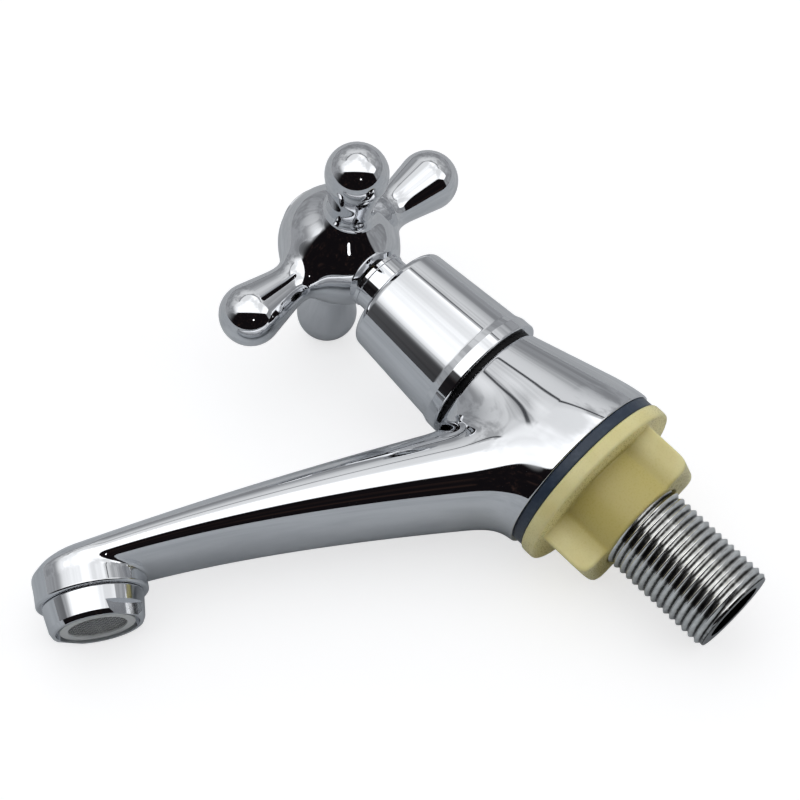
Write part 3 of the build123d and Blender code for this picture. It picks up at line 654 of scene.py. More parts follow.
class Surface:
    """A closed mesh in millimetres, gathered in patches that bring their own normals."""

    WELD = 0.0005
    ROUND_POINTS = 6

    def __init__(self) -> None:
        """Start with no patch."""
        self.points: list[Points] = []
        self.normals: list[Points] = []
        self.faces: list[Points] = []
        self.count = 0

    def patch(self, points: Points, normals: Points, faces: Points) -> None:
        """Add faces of four corners, of which a triangle repeats one, turned to look outward.

        Args:
            points: The patch's points.
            normals: The outward direction at each point.
            faces: Four point numbers for each face.
        """
        corners = points[faces]
        crossing = np.cross(corners[:, 2] - corners[:, 0], corners[:, 3] - corners[:, 1])
        inward = (crossing * normals[faces].sum(axis=1)).sum(axis=1) < 0.0
        self.faces.append(np.where(inward[:, None], faces[:, ::-1], faces) + self.count)
        self.points.append(points)
        self.normals.append(unit(normals))
        self.count += len(points)

    def grid(self, points: Points, normals: Points, closed: bool = True) -> None:
        """Add rows of points with faces between them.

        Args:
            points: Points by row and column.
            normals: The outward direction at each point.
            closed: Whether the last column meets the first.
        """
        rows, columns = points.shape[:2]
        index = np.arange(rows * columns).reshape(rows, columns)
        if closed:
            index = np.concatenate((index, index[:, :1]), axis=1)
        corners = (index[:-1, :-1], index[:-1, 1:], index[1:, 1:], index[1:, :-1])
        faces = np.stack(corners, axis=-1).reshape(-1, 4)
        self.patch(points.reshape(-1, 3), normals.reshape(-1, 3), faces)

    def turn(self, bench: Bench, corners: Sequence[Sequence[float]], closed: bool = False,
             angles: Points | None = None) -> None:
        """Turn a profile about a bench's axis.

        Args:
            bench: Where the axis is.
            corners: Radius, level and rounding of each corner of the profile.
            closed: Whether the profile goes back to its first corner.
            angles: The turn of each column, or None for even ones.
        """
        if angles is None:
            angles = np.linspace(0.0, 2 * math.pi, TURNED_SIDES, endpoint=False)
        radial = np.stack((np.cos(angles), np.sin(angles), np.zeros_like(angles)), axis=1)
        axial = np.array((0.0, 0.0, 1.0))
        for spots, facing in profile_runs(corners, closed):
            local = spots[:, :1, None] * radial + spots[:, 1:, None] * axial
            aims = facing[:, :1, None] * radial + facing[:, 1:, None] * axial
            self.grid(bench.place(local), bench.aim(aims))

    def rounded(self, loop: Points, facing: Points, flat: Points, rise: float) -> Points:
        """Round an open edge over towards a flat face.

        Args:
            loop: The edge's points.
            facing: The surface's normal at each of them.
            flat: The flat face's normal.
            rise: How far above the edge the flat face lies.

        Returns:
            The points where the flat face starts.
        """
        along = facing @ flat
        radius = (rise / (1.0 - along))[:, None]
        centre = loop - facing * radius
        angle = np.arccos(along)[:, None]
        shares = np.linspace(0.0, 1.0, self.ROUND_POINTS)
        aims = np.stack([(np.sin((1.0 - share) * angle) * facing + np.sin(share * angle) * flat)
                         / np.sin(angle) for share in shares])
        self.grid(centre + aims * radius, aims)
        return centre + flat * radius

    def socket(self, bench: Bench, loop: Points, flat: Points, radius: float, depth: float) -> None:
        """Fill a flat face round a blind bore.

        Args:
            bench: Where the bore's axis is.
            loop: The flat face's outer edge.
            flat: The flat face's normal.
            radius: The bore's radius.
            depth: The bore's depth.
        """
        local = bench.local(loop)
        radial = np.stack((local[:, 0], local[:, 1], np.zeros(len(local))), axis=1)
        radial = unit(radial)
        level = np.zeros_like(radial) + np.array((0.0, 0.0, local[:, 2].mean()))
        aims = bench.aim(radial)
        mouth = bench.place(radial * radius + level)
        deep = mouth - flat * depth
        middle = np.broadcast_to(bench.place(level[:1]) - flat * depth, deep.shape)
        flats = np.broadcast_to(flat, aims.shape)
        self.grid(np.stack((loop, mouth)), np.stack((flats, flats)))
        self.grid(np.stack((mouth, deep)), np.stack((-aims, -aims)))
        self.grid(np.stack((deep, middle)), np.stack((flats, flats)))

    def piece(self, name: str, body: Body, finish: Finish, node: str) -> None:
        """Weld the patches and make the piece that stands for a CAD node.

        Args:
            name: The piece's name.
            body: The body that it rides on.
            finish: Its finish.
            node: The CAD node that it replaces.
        """
        points, faces = np.concatenate(self.points), np.concatenate(self.faces)
        normals = np.concatenate(self.normals)[faces]
        keys = np.round(points / self.WELD).astype(np.int64)
        _, first, same = np.unique(keys, axis=0, return_index=True, return_inverse=True)
        faces = same.reshape(-1)[faces]
        doubled = faces == np.roll(faces, -1, axis=1)
        quads, thin = ~doubled.any(axis=1), doubled.sum(axis=1) == 1
        triangles = faces[thin][~doubled[thin]].reshape(-1, 3)
        aims = np.concatenate((normals[quads].reshape(-1, 3), normals[thin][~doubled[thin]]))
        mesh = bpy.data.meshes.new(name)
        mesh.from_pydata((points[first] * MILLIMETRE).tolist(), [],
                         faces[quads].tolist() + triangles.tolist())
        mesh.normals_split_custom_set(aims.tolist())
        made = bpy.data.objects.new(name, mesh)
        bpy.context.scene.collection.objects.link(made)
        finish.dress(made)
        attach(made, body.value)
        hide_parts(node)
        log.info("built %s with %d faces", name, len(mesh.polygons))


@dataclass(frozen=True)
class Cut:
    """A plane that cuts a soft form, which keeps what lies behind it."""

    origin: Triple
    normal: Triple
    reach: float


@dataclass(frozen=True)
class SoftForm:
    """A form with fillets, given by a field that is negative inside it, in millimetres."""

    BLOCKS = 24
    SLOPE_STEP = 0.01
    EVEN_ROUNDS = 3
    EVEN_SHARE = 0.6
    ON_PLANE = 1e-5

    field: Field
    low: Triple
    high: Triple
    cell: float

    def slope(self, points: Points) -> Points:
        """Give the field's slope, which points outward."""
        shifts = np.eye(3) * self.SLOPE_STEP
        slopes = [self.field(points + shift) - self.field(points - shift) for shift in shifts]
        return np.stack(slopes, axis=1) / (2 * self.SLOPE_STEP)

    def settled(self, points: Points) -> Points:
        """Move points along the slope onto the surface."""
        slope = self.slope(points)
        return points - slope * (self.field(points) / (slope ** 2).sum(axis=1))[:, None]

    def skin(self) -> tuple[Points, Points]:
        """Cover the form with faces of four corners.

        Returns:
            The points, and four point numbers for each face.
        """
        lines = [np.arange(low, high, self.cell) for low, high in zip(self.low, self.high)]
        spots = np.stack(np.meshgrid(*lines, indexing="ij"), axis=-1).reshape(-1, 3)
        blocks = np.array_split(spots, self.BLOCKS)
        values = np.concatenate([self.field(block) for block in blocks])
        values = values.reshape([len(line) for line in lines])
        rings, crossings = [], []
        for axis in range(3):
            order = [axis] + [other for other in range(3) if other != axis]
            turned = np.moveaxis(values, axis, 0)
            near = np.argwhere((turned[:-1] < 0.0) != (turned[1:] < 0.0))
            start, end = turned[:-1][tuple(near.T)], turned[1:][tuple(near.T)]
            crossing = np.empty((len(near), 3))
            crossing[:, order] = near + np.outer(start / (start - end), (1.0, 0.0, 0.0))
            ring = []
            for back in ((1, 1), (0, 1), (0, 0), (1, 0)):
                cell = np.empty((len(near), 3), dtype=np.int64)
                cell[:, order] = near - np.array((0, *back))
                ring.append(np.ravel_multi_index(cell.T, values.shape))
            rings.append(np.stack(ring, axis=1))
            crossings.append(np.repeat(crossing, 4, axis=0))
        rings = np.concatenate(rings)
        _, index = np.unique(rings.reshape(-1), return_inverse=True)
        faces = index.reshape(rings.shape)
        crossings, shares = np.concatenate(crossings), np.bincount(faces.reshape(-1))
        middles = self.gathered(faces.reshape(-1), crossings, shares)
        points = middles * self.cell + np.array(self.low)
        for _ in range(self.EVEN_ROUNDS):
            points = self.relaxed(self.settled(points), faces)
        return self.settled(self.settled(points)), faces

    @staticmethod
    def gathered(index: Points, values: Points, shares: Points) -> Points:
        """Average the values that share a number."""
        sums = [np.bincount(index, weights=values[:, axis]) for axis in range(3)]
        return np.stack(sums, axis=1) / shares[:, None]

    def relaxed(self, points: Points, faces: Points) -> Points:
        """Even out the spacing of the points along the surface.

        Args:
            points: The surface's points.
            faces: Four point numbers for each face.

        Returns:
            The moved points.
        """
        ends = faces.reshape(-1)
        others = points[np.roll(faces, -1, axis=1).reshape(-1)]
        move = self.gathered(ends, others, np.bincount(ends)) - points
        normal = unit(self.slope(points))
        return points + self.EVEN_SHARE * (move - normal * (move * normal).sum(axis=1)[:, None])

    def trimmed(self, cuts: Sequence[Cut]) -> tuple[Points, Points, list[Points]]:
        """Cover the form and cut it open.

        Args:
            cuts: Where it is cut.

        Returns:
            The points, four point numbers for each face, and the edge that each cut left.
        """
        points, faces = self.skin()
        mesh = bpy.data.meshes.new("uncut")
        mesh.from_pydata(points.tolist(), [], faces.tolist())
        form = bmesh.new()
        form.from_mesh(mesh)
        bpy.data.meshes.remove(mesh)
        loops = []
        for cut in cuts:
            middle = Vector(cut.origin)
            near = [face for face in form.faces
                    if (face.calc_center_median() - middle).length < cut.reach]
            edges = list(dict.fromkeys(edge for face in near for edge in face.edges))
            verts = list(dict.fromkeys(vert for face in near for vert in face.verts))
            found = bmesh.ops.bisect_plane(form, geom=near + edges + verts, dist=self.ON_PLANE,
                                           plane_co=middle, plane_no=Vector(cut.normal),
                                           clear_outer=True)
            rim = [edge for edge in found["geom_cut"] if isinstance(edge, bmesh.types.BMEdge)]
            loops.append(self.walk([edge for edge in rim if edge.is_boundary]))
        bmesh.ops.triangulate(form, faces=[face for face in form.faces if len(face.verts) > 4])
        form.verts.index_update()
        points = np.array([vert.co[:] for vert in form.verts])
        corners = [[vert.index for vert in face.verts] for face in form.faces]
        faces = np.array([corner + corner[-1:] * (4 - len(corner)) for corner in corners])
        form.free()
        return points, faces, loops

    @staticmethod
    def walk(edges: list[bmesh.types.BMEdge]) -> Points:
        """Put the points of a closed row of edges in order."""
        here, order, left = edges[0].verts[0], [], set(edges)
        while left:
            step = next(edge for edge in here.link_edges if edge in left)
            order.append(here.co[:])
            left.remove(step)
            here = step.other_vert(here)
        return np.array(order)


class Piece(Protocol):
    """A sub-assembly that can be built."""

    def build(self) -> None:
        """Make and dress the sub-assembly's pieces."""


@dataclass
class Casting:
    """Conical foot with the spout and the outlet's head, in one chromed piece."""

    outlet: Bench
    foot_level: float = 2.5
    foot_radius: float = 21.25
    foot_edge: float = 0.35
    shoulder_height: float = 10.0
    shoulder_setback: float = 1.95
    shoulder_power: float = 1.45
    crown_level: float = 30.75
    crown_radius: float = 14.3
    crown_edge: float = 0.55
    root: tuple[float, float] = (-7.5, 9.75)
    root_rise: float = 35.0
    root_half_width: float = 15.5
    root_half_depth: float = 13.0
    root_fillet: float = 4.6
    tip: tuple[float, float] = (-92.191, 60.904)
    tip_rise: float = 25.0
    tip_half_width: float = 12.0
    tip_half_depth: float = 5.2
    belly_share: float = 0.87
    belly_power: float = 2.4
    width_power: float = 1.3
    depth_power: float = 1.6
    head_fillet: float = 0.7
    rim_rise: float = 1.4
    mouth_level: float = 6.4
    mouth_radius: float = 12.3
    mouth_edge: float = 0.6
    waist_level: float = 13.3
    waist_radius: float = 12.05
    mouth_bore: float = 9.95
    foot_bore: float = 9.1
    bore_depth: float = 5.0
    cell: float = 0.5

    CENTRE_LINE_ROUNDS = 4
    FOOT_REACH = 60.0
    MOUTH_REACH = 20.0
    LOW = (-22.5, -108.0, 0.0)
    HIGH = (22.5, 22.5, 69.0)

    def cone(self, points: Points) -> Points:
        """Give distances to the foot's cone."""
        height = points[:, 2] - self.foot_level
        span = self.crown_level - self.foot_level - self.shoulder_height
        slope = (self.foot_radius - self.shoulder_setback - self.crown_radius) / span
        share = np.clip(height / self.shoulder_height, 0.0, 1.0)
        wall = self.foot_radius - self.shoulder_setback * share ** self.shoulder_power
        wall -= slope * np.maximum(height - self.shoulder_height, 0.0)
        side = (np.hypot(points[:, 0], points[:, 1]) - wall) / math.hypot(1.0, slope)
        return soft_cut(side, points[:, 2] - self.crown_level, self.crown_edge)

    def arm(self, points: Points) -> Points:
        """Give distances to the spout, an oval that shrinks along a bent centre line."""
        root, tip = np.array(self.root), np.array(self.tip)
        steep, drop = math.radians(self.root_rise), math.radians(self.root_rise - self.tip_rise)
        shallow = steep - drop
        span = tip - root
        reach = (span[1] * math.cos(shallow) + span[0] * math.sin(shallow)) / math.sin(drop)
        bend = root + reach * np.array((-math.cos(steep), math.sin(steep)))

        def stand(share: Points) -> tuple[Points, Points, Points]:
            """Give how far points lie ahead of and above the centre line, and its heading."""
            rest = 1.0 - share
            middle = (np.outer(rest ** 2, root) + np.outer(2 * share * rest, bend)
                      + np.outer(share ** 2, tip))
            rise = steep - drop * share
            along = np.stack((-np.cos(rise), np.sin(rise)), axis=1)
            over = np.stack((np.sin(rise), np.cos(rise)), axis=1)
            off = points[:, 1:] - middle
            return (off * along).sum(axis=1), (off * over).sum(axis=1), along

        share = np.clip((points[:, 1:] - root) @ span / (span @ span), 0.0, 1.0)
        for _ in range(self.CENTRE_LINE_ROUNDS):
            ahead, above, along = stand(share)
            pace = 2 * (np.outer(1.0 - share, bend - root) + np.outer(share, tip - bend))
            share = share + ahead / ((pace * along).sum(axis=1) + drop * above)
            share = np.clip(share, 0.0, 1.0)
        rest = 1.0 - share
        widening = self.root_half_width - self.tip_half_width
        deepening = self.root_half_depth - self.tip_half_depth
        width = self.tip_half_width + widening * rest ** self.width_power
        depth = self.tip_half_depth + deepening * rest ** self.depth_power
        ahead, above, _ = stand(share)
        belly = above < 0.0
        depth = depth * np.where(belly, self.belly_share, 1.0)
        sizes = np.stack((width, np.full_like(width, self.tip_half_width), depth), axis=1)
        spots = np.stack((points[:, 0], ahead, above), axis=1)
        return oval(spots, sizes, np.where(belly, self.belly_power, 2.0))

    def head(self, points: Points) -> Points:
        """Give distances to the outlet's head, below the plane where the spout ends."""
        local = self.outlet.local(points)
        share = (self.waist_level - local[:, 2]) / (self.waist_level - self.mouth_level)
        share = np.clip(share, 0.0, 1.0)
        wall = self.waist_radius + (self.mouth_radius - self.waist_radius) * share
        side = np.hypot(local[:, 0], local[:, 1]) - wall
        rise = math.radians(self.tip_rise)
        upright = np.array((math.sin(rise), math.cos(rise)))
        above = (points[:, 1:] - np.array(self.tip)) @ upright
        rim = soft_cut(side, above - self.rim_rise, self.head_fillet)
        return np.maximum(rim, self.mouth_level - 2 * self.cell - local[:, 2])

    def field(self, points: Points) -> Points:
        """Give distances to the whole casting."""
        joined = soft_union(self.cone(points), self.arm(points), self.root_fillet)
        joined = soft_union(joined, self.head(points), self.head_fillet)
        return np.maximum(joined, self.foot_level - 2 * self.cell - points[:, 2])

    def build(self) -> None:
        """Make and dress the casting."""
        form = SoftForm(self.field, self.LOW, self.HIGH, self.cell)
        down = np.array((0.0, 0.0, -1.0))
        foot = Cut((0.0, 0.0, self.foot_level + self.foot_edge), tuple(down), self.FOOT_REACH)
        mouth_centre = self.outlet.place(np.array((0.0, 0.0, self.mouth_level + self.mouth_edge)))
        outward = self.outlet.aim(down)
        mouth = Cut(tuple(mouth_centre), tuple(outward), self.MOUTH_REACH)
        points, faces, loops = form.trimmed((foot, mouth))
        surface = Surface()
        surface.patch(points, form.slope(points), faces)
        ends = ((Bench(), down, self.foot_edge, self.foot_bore),
                (self.outlet, outward, self.mouth_edge, self.mouth_bore))
        for loop, (bench, flat, edge, bore) in zip(loops, ends):
            edge_loop = surface.rounded(loop, unit(form.slope(loop)), flat, edge)
            surface.socket(bench, edge_loop, flat, bore, self.bore_depth)
        surface.piece("casting", Body.TAP, CHROME, "spout_body")


def oval(points: Points, sizes: Points, power: Points | float = 2.0) -> Points:
    """Give distances to an ellipsoid, near enough close to its surface.

    Args:
        points: Points from the ellipsoid's centre, along its axes.
        sizes: Its half sizes at each point.
        power: How boxy its upright sections are, 2 for an ellipse.

    Returns:
        The distances, negative inside.
    """
    shares = np.abs(points / sizes)
    level = np.maximum(np.hypot(shares[:, 0], shares[:, 1]), 1e-6)
    size = np.maximum((level ** power + shares[:, 2] ** power) ** (1.0 / power), 1e-6)
    level_slope = np.linalg.norm(shares[:, :2] / sizes[:, :2], axis=1)
    flat = (level / size) ** (power - 1.0) * level_slope / level
    upright = (shares[:, 2] / size) ** (power - 1.0) / sizes[:, 2]
    return (size - 1.0) / np.maximum(np.hypot(flat, upright), 1e-6)


@dataclass
class CrossHandle:
    """Neck, hub and four arms that swell into balls, and the cap on top."""

    neck_bottom: float = 57.5
    neck_radius: float = 6.9
    rim_radius: float = 7.2
    rim_bottom: float = 65.45
    rim_top: float = 66.35
    join_level: float = 66.94
    hub_centre: float = 79.1
    hub_radius: float = 13.5
    hub_drop: float = 15.2
    arm_level: float = 77.8
    arm_turn: float = 12.1
    arm_reach: float = 28.3
    ball_radius: float = 7.1
    arm_taper: float = 12.0
    arm_start: float = 6.0
    arm_fillet: float = 4.5
    socket_radius: float = 4.05
    cap_bore: float = 5.1
    cap_plug: float = 5.05
    cap_seat: float = 90.2
    cap_gap: float = 0.05
    cap_edge: float = 0.15
    cap_shoulder: Triple = (3.75, 0.68, 8.0)
    cap_top: float = 92.9
    dot_rim_drop: float = 0.18
    dot_radius: float = 2.4
    dot_depth: float = 0.5
    cell: float = 0.5

    NECK_REACH = 12.0
    CROWN_REACH = 9.0

    def arm(self, points: Points, heading: float) -> Points:
        """Give distances to one arm with its ball.

        Args:
            points: The points.
            heading: The arm's direction, in radians.

        Returns:
            The distances.
        """
        ahead = points[:, 0] * math.cos(heading) + points[:, 1] * math.sin(heading)
        aside = points[:, 1] * math.cos(heading) - points[:, 0] * math.sin(heading)
        off = np.hypot(aside, points[:, 2] - self.arm_level)
        taper = math.radians(self.arm_taper)
        start_radius = self.ball_radius - (self.arm_reach - self.arm_start) * math.sin(taper)
        side = (self.arm_reach - ahead) * math.sin(taper) + off * math.cos(taper) - self.ball_radius
        ball = np.hypot(ahead - self.arm_reach, off) - self.ball_radius
        start = np.hypot(ahead - self.arm_start, off) - start_radius
        past_ball = (ahead - self.arm_reach) * math.cos(taper) + off * math.sin(taper) > 0.0
        before_start = (ahead - self.arm_start) * math.cos(taper) + off * math.sin(taper) < 0.0
        return np.where(past_ball, ball, np.where(before_start, start, side))

    def field(self, points: Points) -> Points:
        """Give distances to the hub with its arms."""
        local = points - np.array((0.0, 0.0, self.hub_centre))
        sizes = np.full_like(points, self.hub_radius)
        sizes[:, 2] = np.where(local[:, 2] < 0.0, self.hub_drop, self.hub_radius)
        joined = oval(local, sizes)
        for quarter in range(4):
            heading = math.radians(self.arm_turn + 90.0 * quarter)
            joined = soft_union(joined, self.arm(points, heading), self.arm_fillet)
        return joined

    def build(self) -> None:
        """Make and dress the handle and its cap."""
        half = self.arm_reach + self.ball_radius + MARGIN
        low = self.hub_centre - self.hub_drop - MARGIN
        high = self.hub_centre + self.hub_radius + MARGIN
        form = SoftForm(self.field, (-half, -half, low), (half, half, high), self.cell)
        crown_level = self.hub_centre + math.sqrt(self.hub_radius ** 2 - self.cap_bore ** 2)
        neck = Cut((0.0, 0.0, self.join_level), (0.0, 0.0, -1.0), self.NECK_REACH)
        crown = Cut((0.0, 0.0, crown_level), (0.0, 0.0, 1.0), self.CROWN_REACH)
        points, faces, (neck_loop, crown_loop) = form.trimmed((neck, crown))
        surface = Surface()
        surface.patch(points, form.slope(points), faces)
        angles = np.arctan2(neck_loop[:, 1], neck_loop[:, 0])
        radial = np.stack((np.cos(angles), np.sin(angles), np.zeros_like(angles)), axis=1)
        rim = radial * self.rim_radius + np.array((0.0, 0.0, self.rim_top))
        slant = unit(neck_loop - rim)
        facing = radial * slant[:, 2:] - np.outer((slant * radial).sum(axis=1), (0.0, 0.0, 1.0))
        surface.grid(np.stack((neck_loop, rim)), np.stack((facing, facing)))
        surface.turn(Bench(), ((0.0, self.rim_bottom), (self.socket_radius, self.rim_bottom),
                               (self.socket_radius, self.neck_bottom),
                               (self.neck_radius, self.neck_bottom, 0.3),
                               (self.neck_radius, self.rim_bottom, 0.1),
                               (self.rim_radius, self.rim_bottom, 0.12),
                               (self.rim_radius, self.rim_top)), angles=angles)
        surface.socket(Bench(), crown_loop, np.array((0.0, 0.0, 1.0)), self.cap_bore,
                       crown_level - self.cap_seat)
        surface.piece("cross_handle", Body.HANDLE, CHROME, "handle")
        cap = Surface()
        seat, edge_level = self.cap_seat + self.cap_gap, crown_level + self.cap_edge
        shoulder_radius, shoulder_rise, shoulder_bend = self.cap_shoulder
        cap.turn(Bench(), ((0.0, seat), (self.cap_plug, seat),
                           (self.cap_plug, edge_level, self.cap_edge),
                           (shoulder_radius, edge_level + shoulder_rise, shoulder_bend),
                           (self.dot_radius, self.cap_top - self.dot_rim_drop, 0.1),
                           (self.dot_radius, self.cap_top - self.dot_depth),
                           (0.0, self.cap_top - self.dot_depth)))
        cap.piece("hub_cap", Body.HANDLE, CHROME, "index_cap")


@dataclass
class Sleeve:
    """Flared cover over the valve, the ring below it, near-black as painted shade in the gap, and
    the guide ring in its top.
    """

    bottom: float = 31.9
    collar_radius: float = 15.75
    band_radius: float = 15.65
    band_top: float = 34.8
    flare_radius: float = 15.036
    flare_level: float = 36.554
    flare_bend: float = 2.0
    top: float = 60.5
    top_radius: float = 13.1
    top_edge: float = 1.9
    wall_radius: float = 13.2
    upper_wall_radius: float = 11.4
    web_bottom: float = 42.4
    web_top: float = 46.4
    web_radius: float = 9.1
    ceiling: float = 58.3
    guide_seat: float = 8.05
    guide_outer: float = 8.0
    guide_inner: float = 7.2
    guide_bottom: float = 58.85
    guide_top: float = 60.45
    gap_outer: float = 13.9
    gap_inner: float = 12.4
    gap_bottom: float = 30.75

    def build(self) -> None:
        """Make and dress the sleeve and its two rings."""
        cover = Surface()
        cover.turn(Bench(), ((self.wall_radius, self.bottom),
                             (self.collar_radius, self.bottom, 0.4),
                             (self.band_radius, self.band_top, 0.3),
                             (self.flare_radius, self.flare_level, self.flare_bend),
                             (self.top_radius, self.top, self.top_edge),
                             (self.guide_seat, self.top, 0.2), (self.guide_seat, self.ceiling),
                             (self.upper_wall_radius, self.ceiling),
                             (self.upper_wall_radius, self.web_top),
                             (self.web_radius, self.web_top), (self.web_radius, self.web_bottom),
                             (self.wall_radius, self.web_bottom)), closed=True)
        cover.piece("sleeve_cover", Body.TAP, CHROME, "sleeve")
        guide = Surface()
        guide.turn(Bench(), ((self.guide_inner, self.guide_bottom),
                             (self.guide_outer, self.guide_bottom),
                             (self.guide_outer, self.guide_top, 0.1),
                             (self.guide_inner, self.guide_top, 0.2)), closed=True)
        guide.piece("neck_guide", Body.TAP, BLACK_RUBBER, "guide_ring")
        # The gap ring's near-black finish is painted shade for the gap below the collar.
        gap = Surface()
        gap.turn(Bench(), ((self.gap_inner, self.gap_bottom),
                           (self.gap_outer, self.gap_bottom, 0.1),
                           (self.gap_outer, self.bottom, 0.1),
                           (self.gap_inner, self.bottom)), closed=True)
        gap.piece("dark_gap_ring", Body.TAP, GAP_SHADE_BLACK, "gap_ring")


@dataclass
class Tail:
    """Threaded shank, and the rubber washer under the casting's foot."""

    crest_radius: float = 10.47
    pitch: float = 1.814
    depth: float = 0.70
    turn_columns: int = 96
    pitch_rows: int = 14
    bottom: float = -43.0
    lead: float = 1.1
    runout: float = 1.6
    spigot_radius: float = 9.0
    spigot_level: float = 2.5
    spigot_top: float = 11.5
    bore_radius: float = 7.0
    washer_inner: float = 10.78
    washer_radius: float = 20.8
    washer_thickness: float = 2.5
    washer_edge: float = 0.31

    RIDGE = (0.10, 0.90)
    SLOPE_STEP = 0.004

    def thread_radius(self, turn: Points, level: Points) -> Points:
        """Give the thread's radius, a ridge with rounded crest and root wound round the shank.

        Args:
            turn: Angles round the shank.
            level: Levels along it.

        Returns:
            The radii.
        """
        phase = level / self.pitch - turn / (2 * math.pi)
        ridge = np.abs(2.0 * (phase - np.floor(phase)) - 1.0)
        ridge = ramp_between(ridge, *self.RIDGE)
        fade_end = np.clip(-level / self.runout, 0.0, 1.0)
        fade_start = np.clip((level - self.bottom) / self.lead, 0.0, 1.0)
        radius = self.crest_radius - self.depth * ridge * fade_end
        return radius - (radius - self.crest_radius + self.depth) * (1.0 - fade_start)

    def build(self) -> None:
        """Make and dress the shank and the washer."""
        rows = round(-self.bottom / self.pitch * self.pitch_rows)
        levels = np.linspace(self.bottom, 0.0, rows)[:, None]
        turns = np.linspace(0.0, 2 * math.pi, self.turn_columns, endpoint=False)[None, :]
        radius = self.thread_radius(turns, levels)
        spots = np.stack((radius * np.cos(turns), radius * np.sin(turns),
                          np.broadcast_to(levels, radius.shape)), axis=-1)
        step = self.SLOPE_STEP
        lean, twist = ((self.thread_radius(turns + aside, levels + up)
                        - self.thread_radius(turns - aside, levels - up)) / (2 * step)
                       for aside, up in ((0.0, step), (step, 0.0)))
        twist = twist / radius
        aims = np.stack((np.cos(turns) + np.sin(turns) * twist,
                         np.sin(turns) - np.cos(turns) * twist, -lean), axis=-1)
        shank = Surface()
        shank.grid(spots, aims)
        shank.turn(Bench(), ((self.crest_radius, 0.0), (self.crest_radius, self.spigot_level),
                             (self.spigot_radius, self.spigot_level),
                             (self.spigot_radius, self.spigot_top, 0.3),
                             (self.bore_radius, self.spigot_top), (self.bore_radius, self.bottom),
                             (self.crest_radius - self.depth, self.bottom)), angles=turns[0])
        shank.piece("threaded_tail", Body.TAP, NICKEL, "threaded_shank")
        washer = Surface()
        washer.turn(Bench(), ((self.washer_inner, 0.0), (self.washer_radius, 0.0, self.washer_edge),
                              (self.washer_radius, self.washer_thickness, self.washer_edge),
                              (self.washer_inner, self.washer_thickness)), closed=True)
        washer.piece("foot_washer", Body.TAP, NAVY_RUBBER, "base_washer")


def ramp_between(values: Points, low: float, high: float) -> Points:
    """Stretch values between two limits, with rounded ends.

    Args:
        values: Values from 0 to 1.
        low: Where the result leaves 0.
        high: Where it reaches 1.

    Returns:
        Values from 0 to 1.
    """
    rounding = 0.16 / FILLET_REACH
    shares = (values - low) / (high - low)
    raised = soft_cut(shares, np.zeros_like(shares), rounding)
    return soft_union(raised, np.ones_like(shares), rounding)


@dataclass
class BackNut:
    """Moulded nut: flange, hub and two broad wings."""

    top: float = -0.05
    flange_radius: float = 21.3
    flange_thickness: float = 3.6
    flange_edge: float = 0.7
    height: float = 15.8
    hub_radius: float = 12.9
    hub_edge: float = 0.5
    wing_half_span: float = 16.5
    wing_half_width: float = 9.3
    wing_turn: float = 75.0
    wing_corner: float = 2.6
    wing_edge: float = 0.6
    wing_root: float = 0.45
    bore_radius: float = 10.56
    bore_edge: float = 0.35
    cell: float = 0.4

    def field(self, points: Points) -> Points:
        """Give distances to the nut."""
        off, level = np.hypot(points[:, 0], points[:, 1]), points[:, 2]
        flange_floor = self.top - self.flange_thickness - level
        flange = soft_cut(off - self.flange_radius, flange_floor, self.flange_edge)
        floor = self.top - self.height - level
        hub = soft_cut(off - self.hub_radius, floor, self.hub_edge)
        heading = math.radians(self.wing_turn)
        along = np.abs(points[:, 0] * math.cos(heading) + points[:, 1] * math.sin(heading))
        across = np.abs(points[:, 1] * math.cos(heading) - points[:, 0] * math.sin(heading))
        wing = soft_cut(along - self.wing_half_span, floor, self.wing_corner)
        wing = soft_cut(wing, across - self.wing_half_width, self.wing_edge)
        joined = soft_union(hub, wing, self.wing_root)
        joined = soft_union(joined, flange, self.wing_root)
        joined = soft_cut(joined, level - self.top, self.flange_edge)
        return soft_cut(joined, self.bore_radius - off, self.bore_edge)

    def build(self) -> None:
        """Make and dress the nut."""
        half = self.flange_radius + MARGIN
        low = self.top - self.height - MARGIN
        form = SoftForm(self.field, (-half, -half, low), (half, half, MARGIN), self.cell)
        points, faces = form.skin()
        surface = Surface()
        surface.patch(points, form.slope(points), faces)
        surface.piece("wing_nut", Body.NUT, IVORY_PLASTIC, "back_nut")


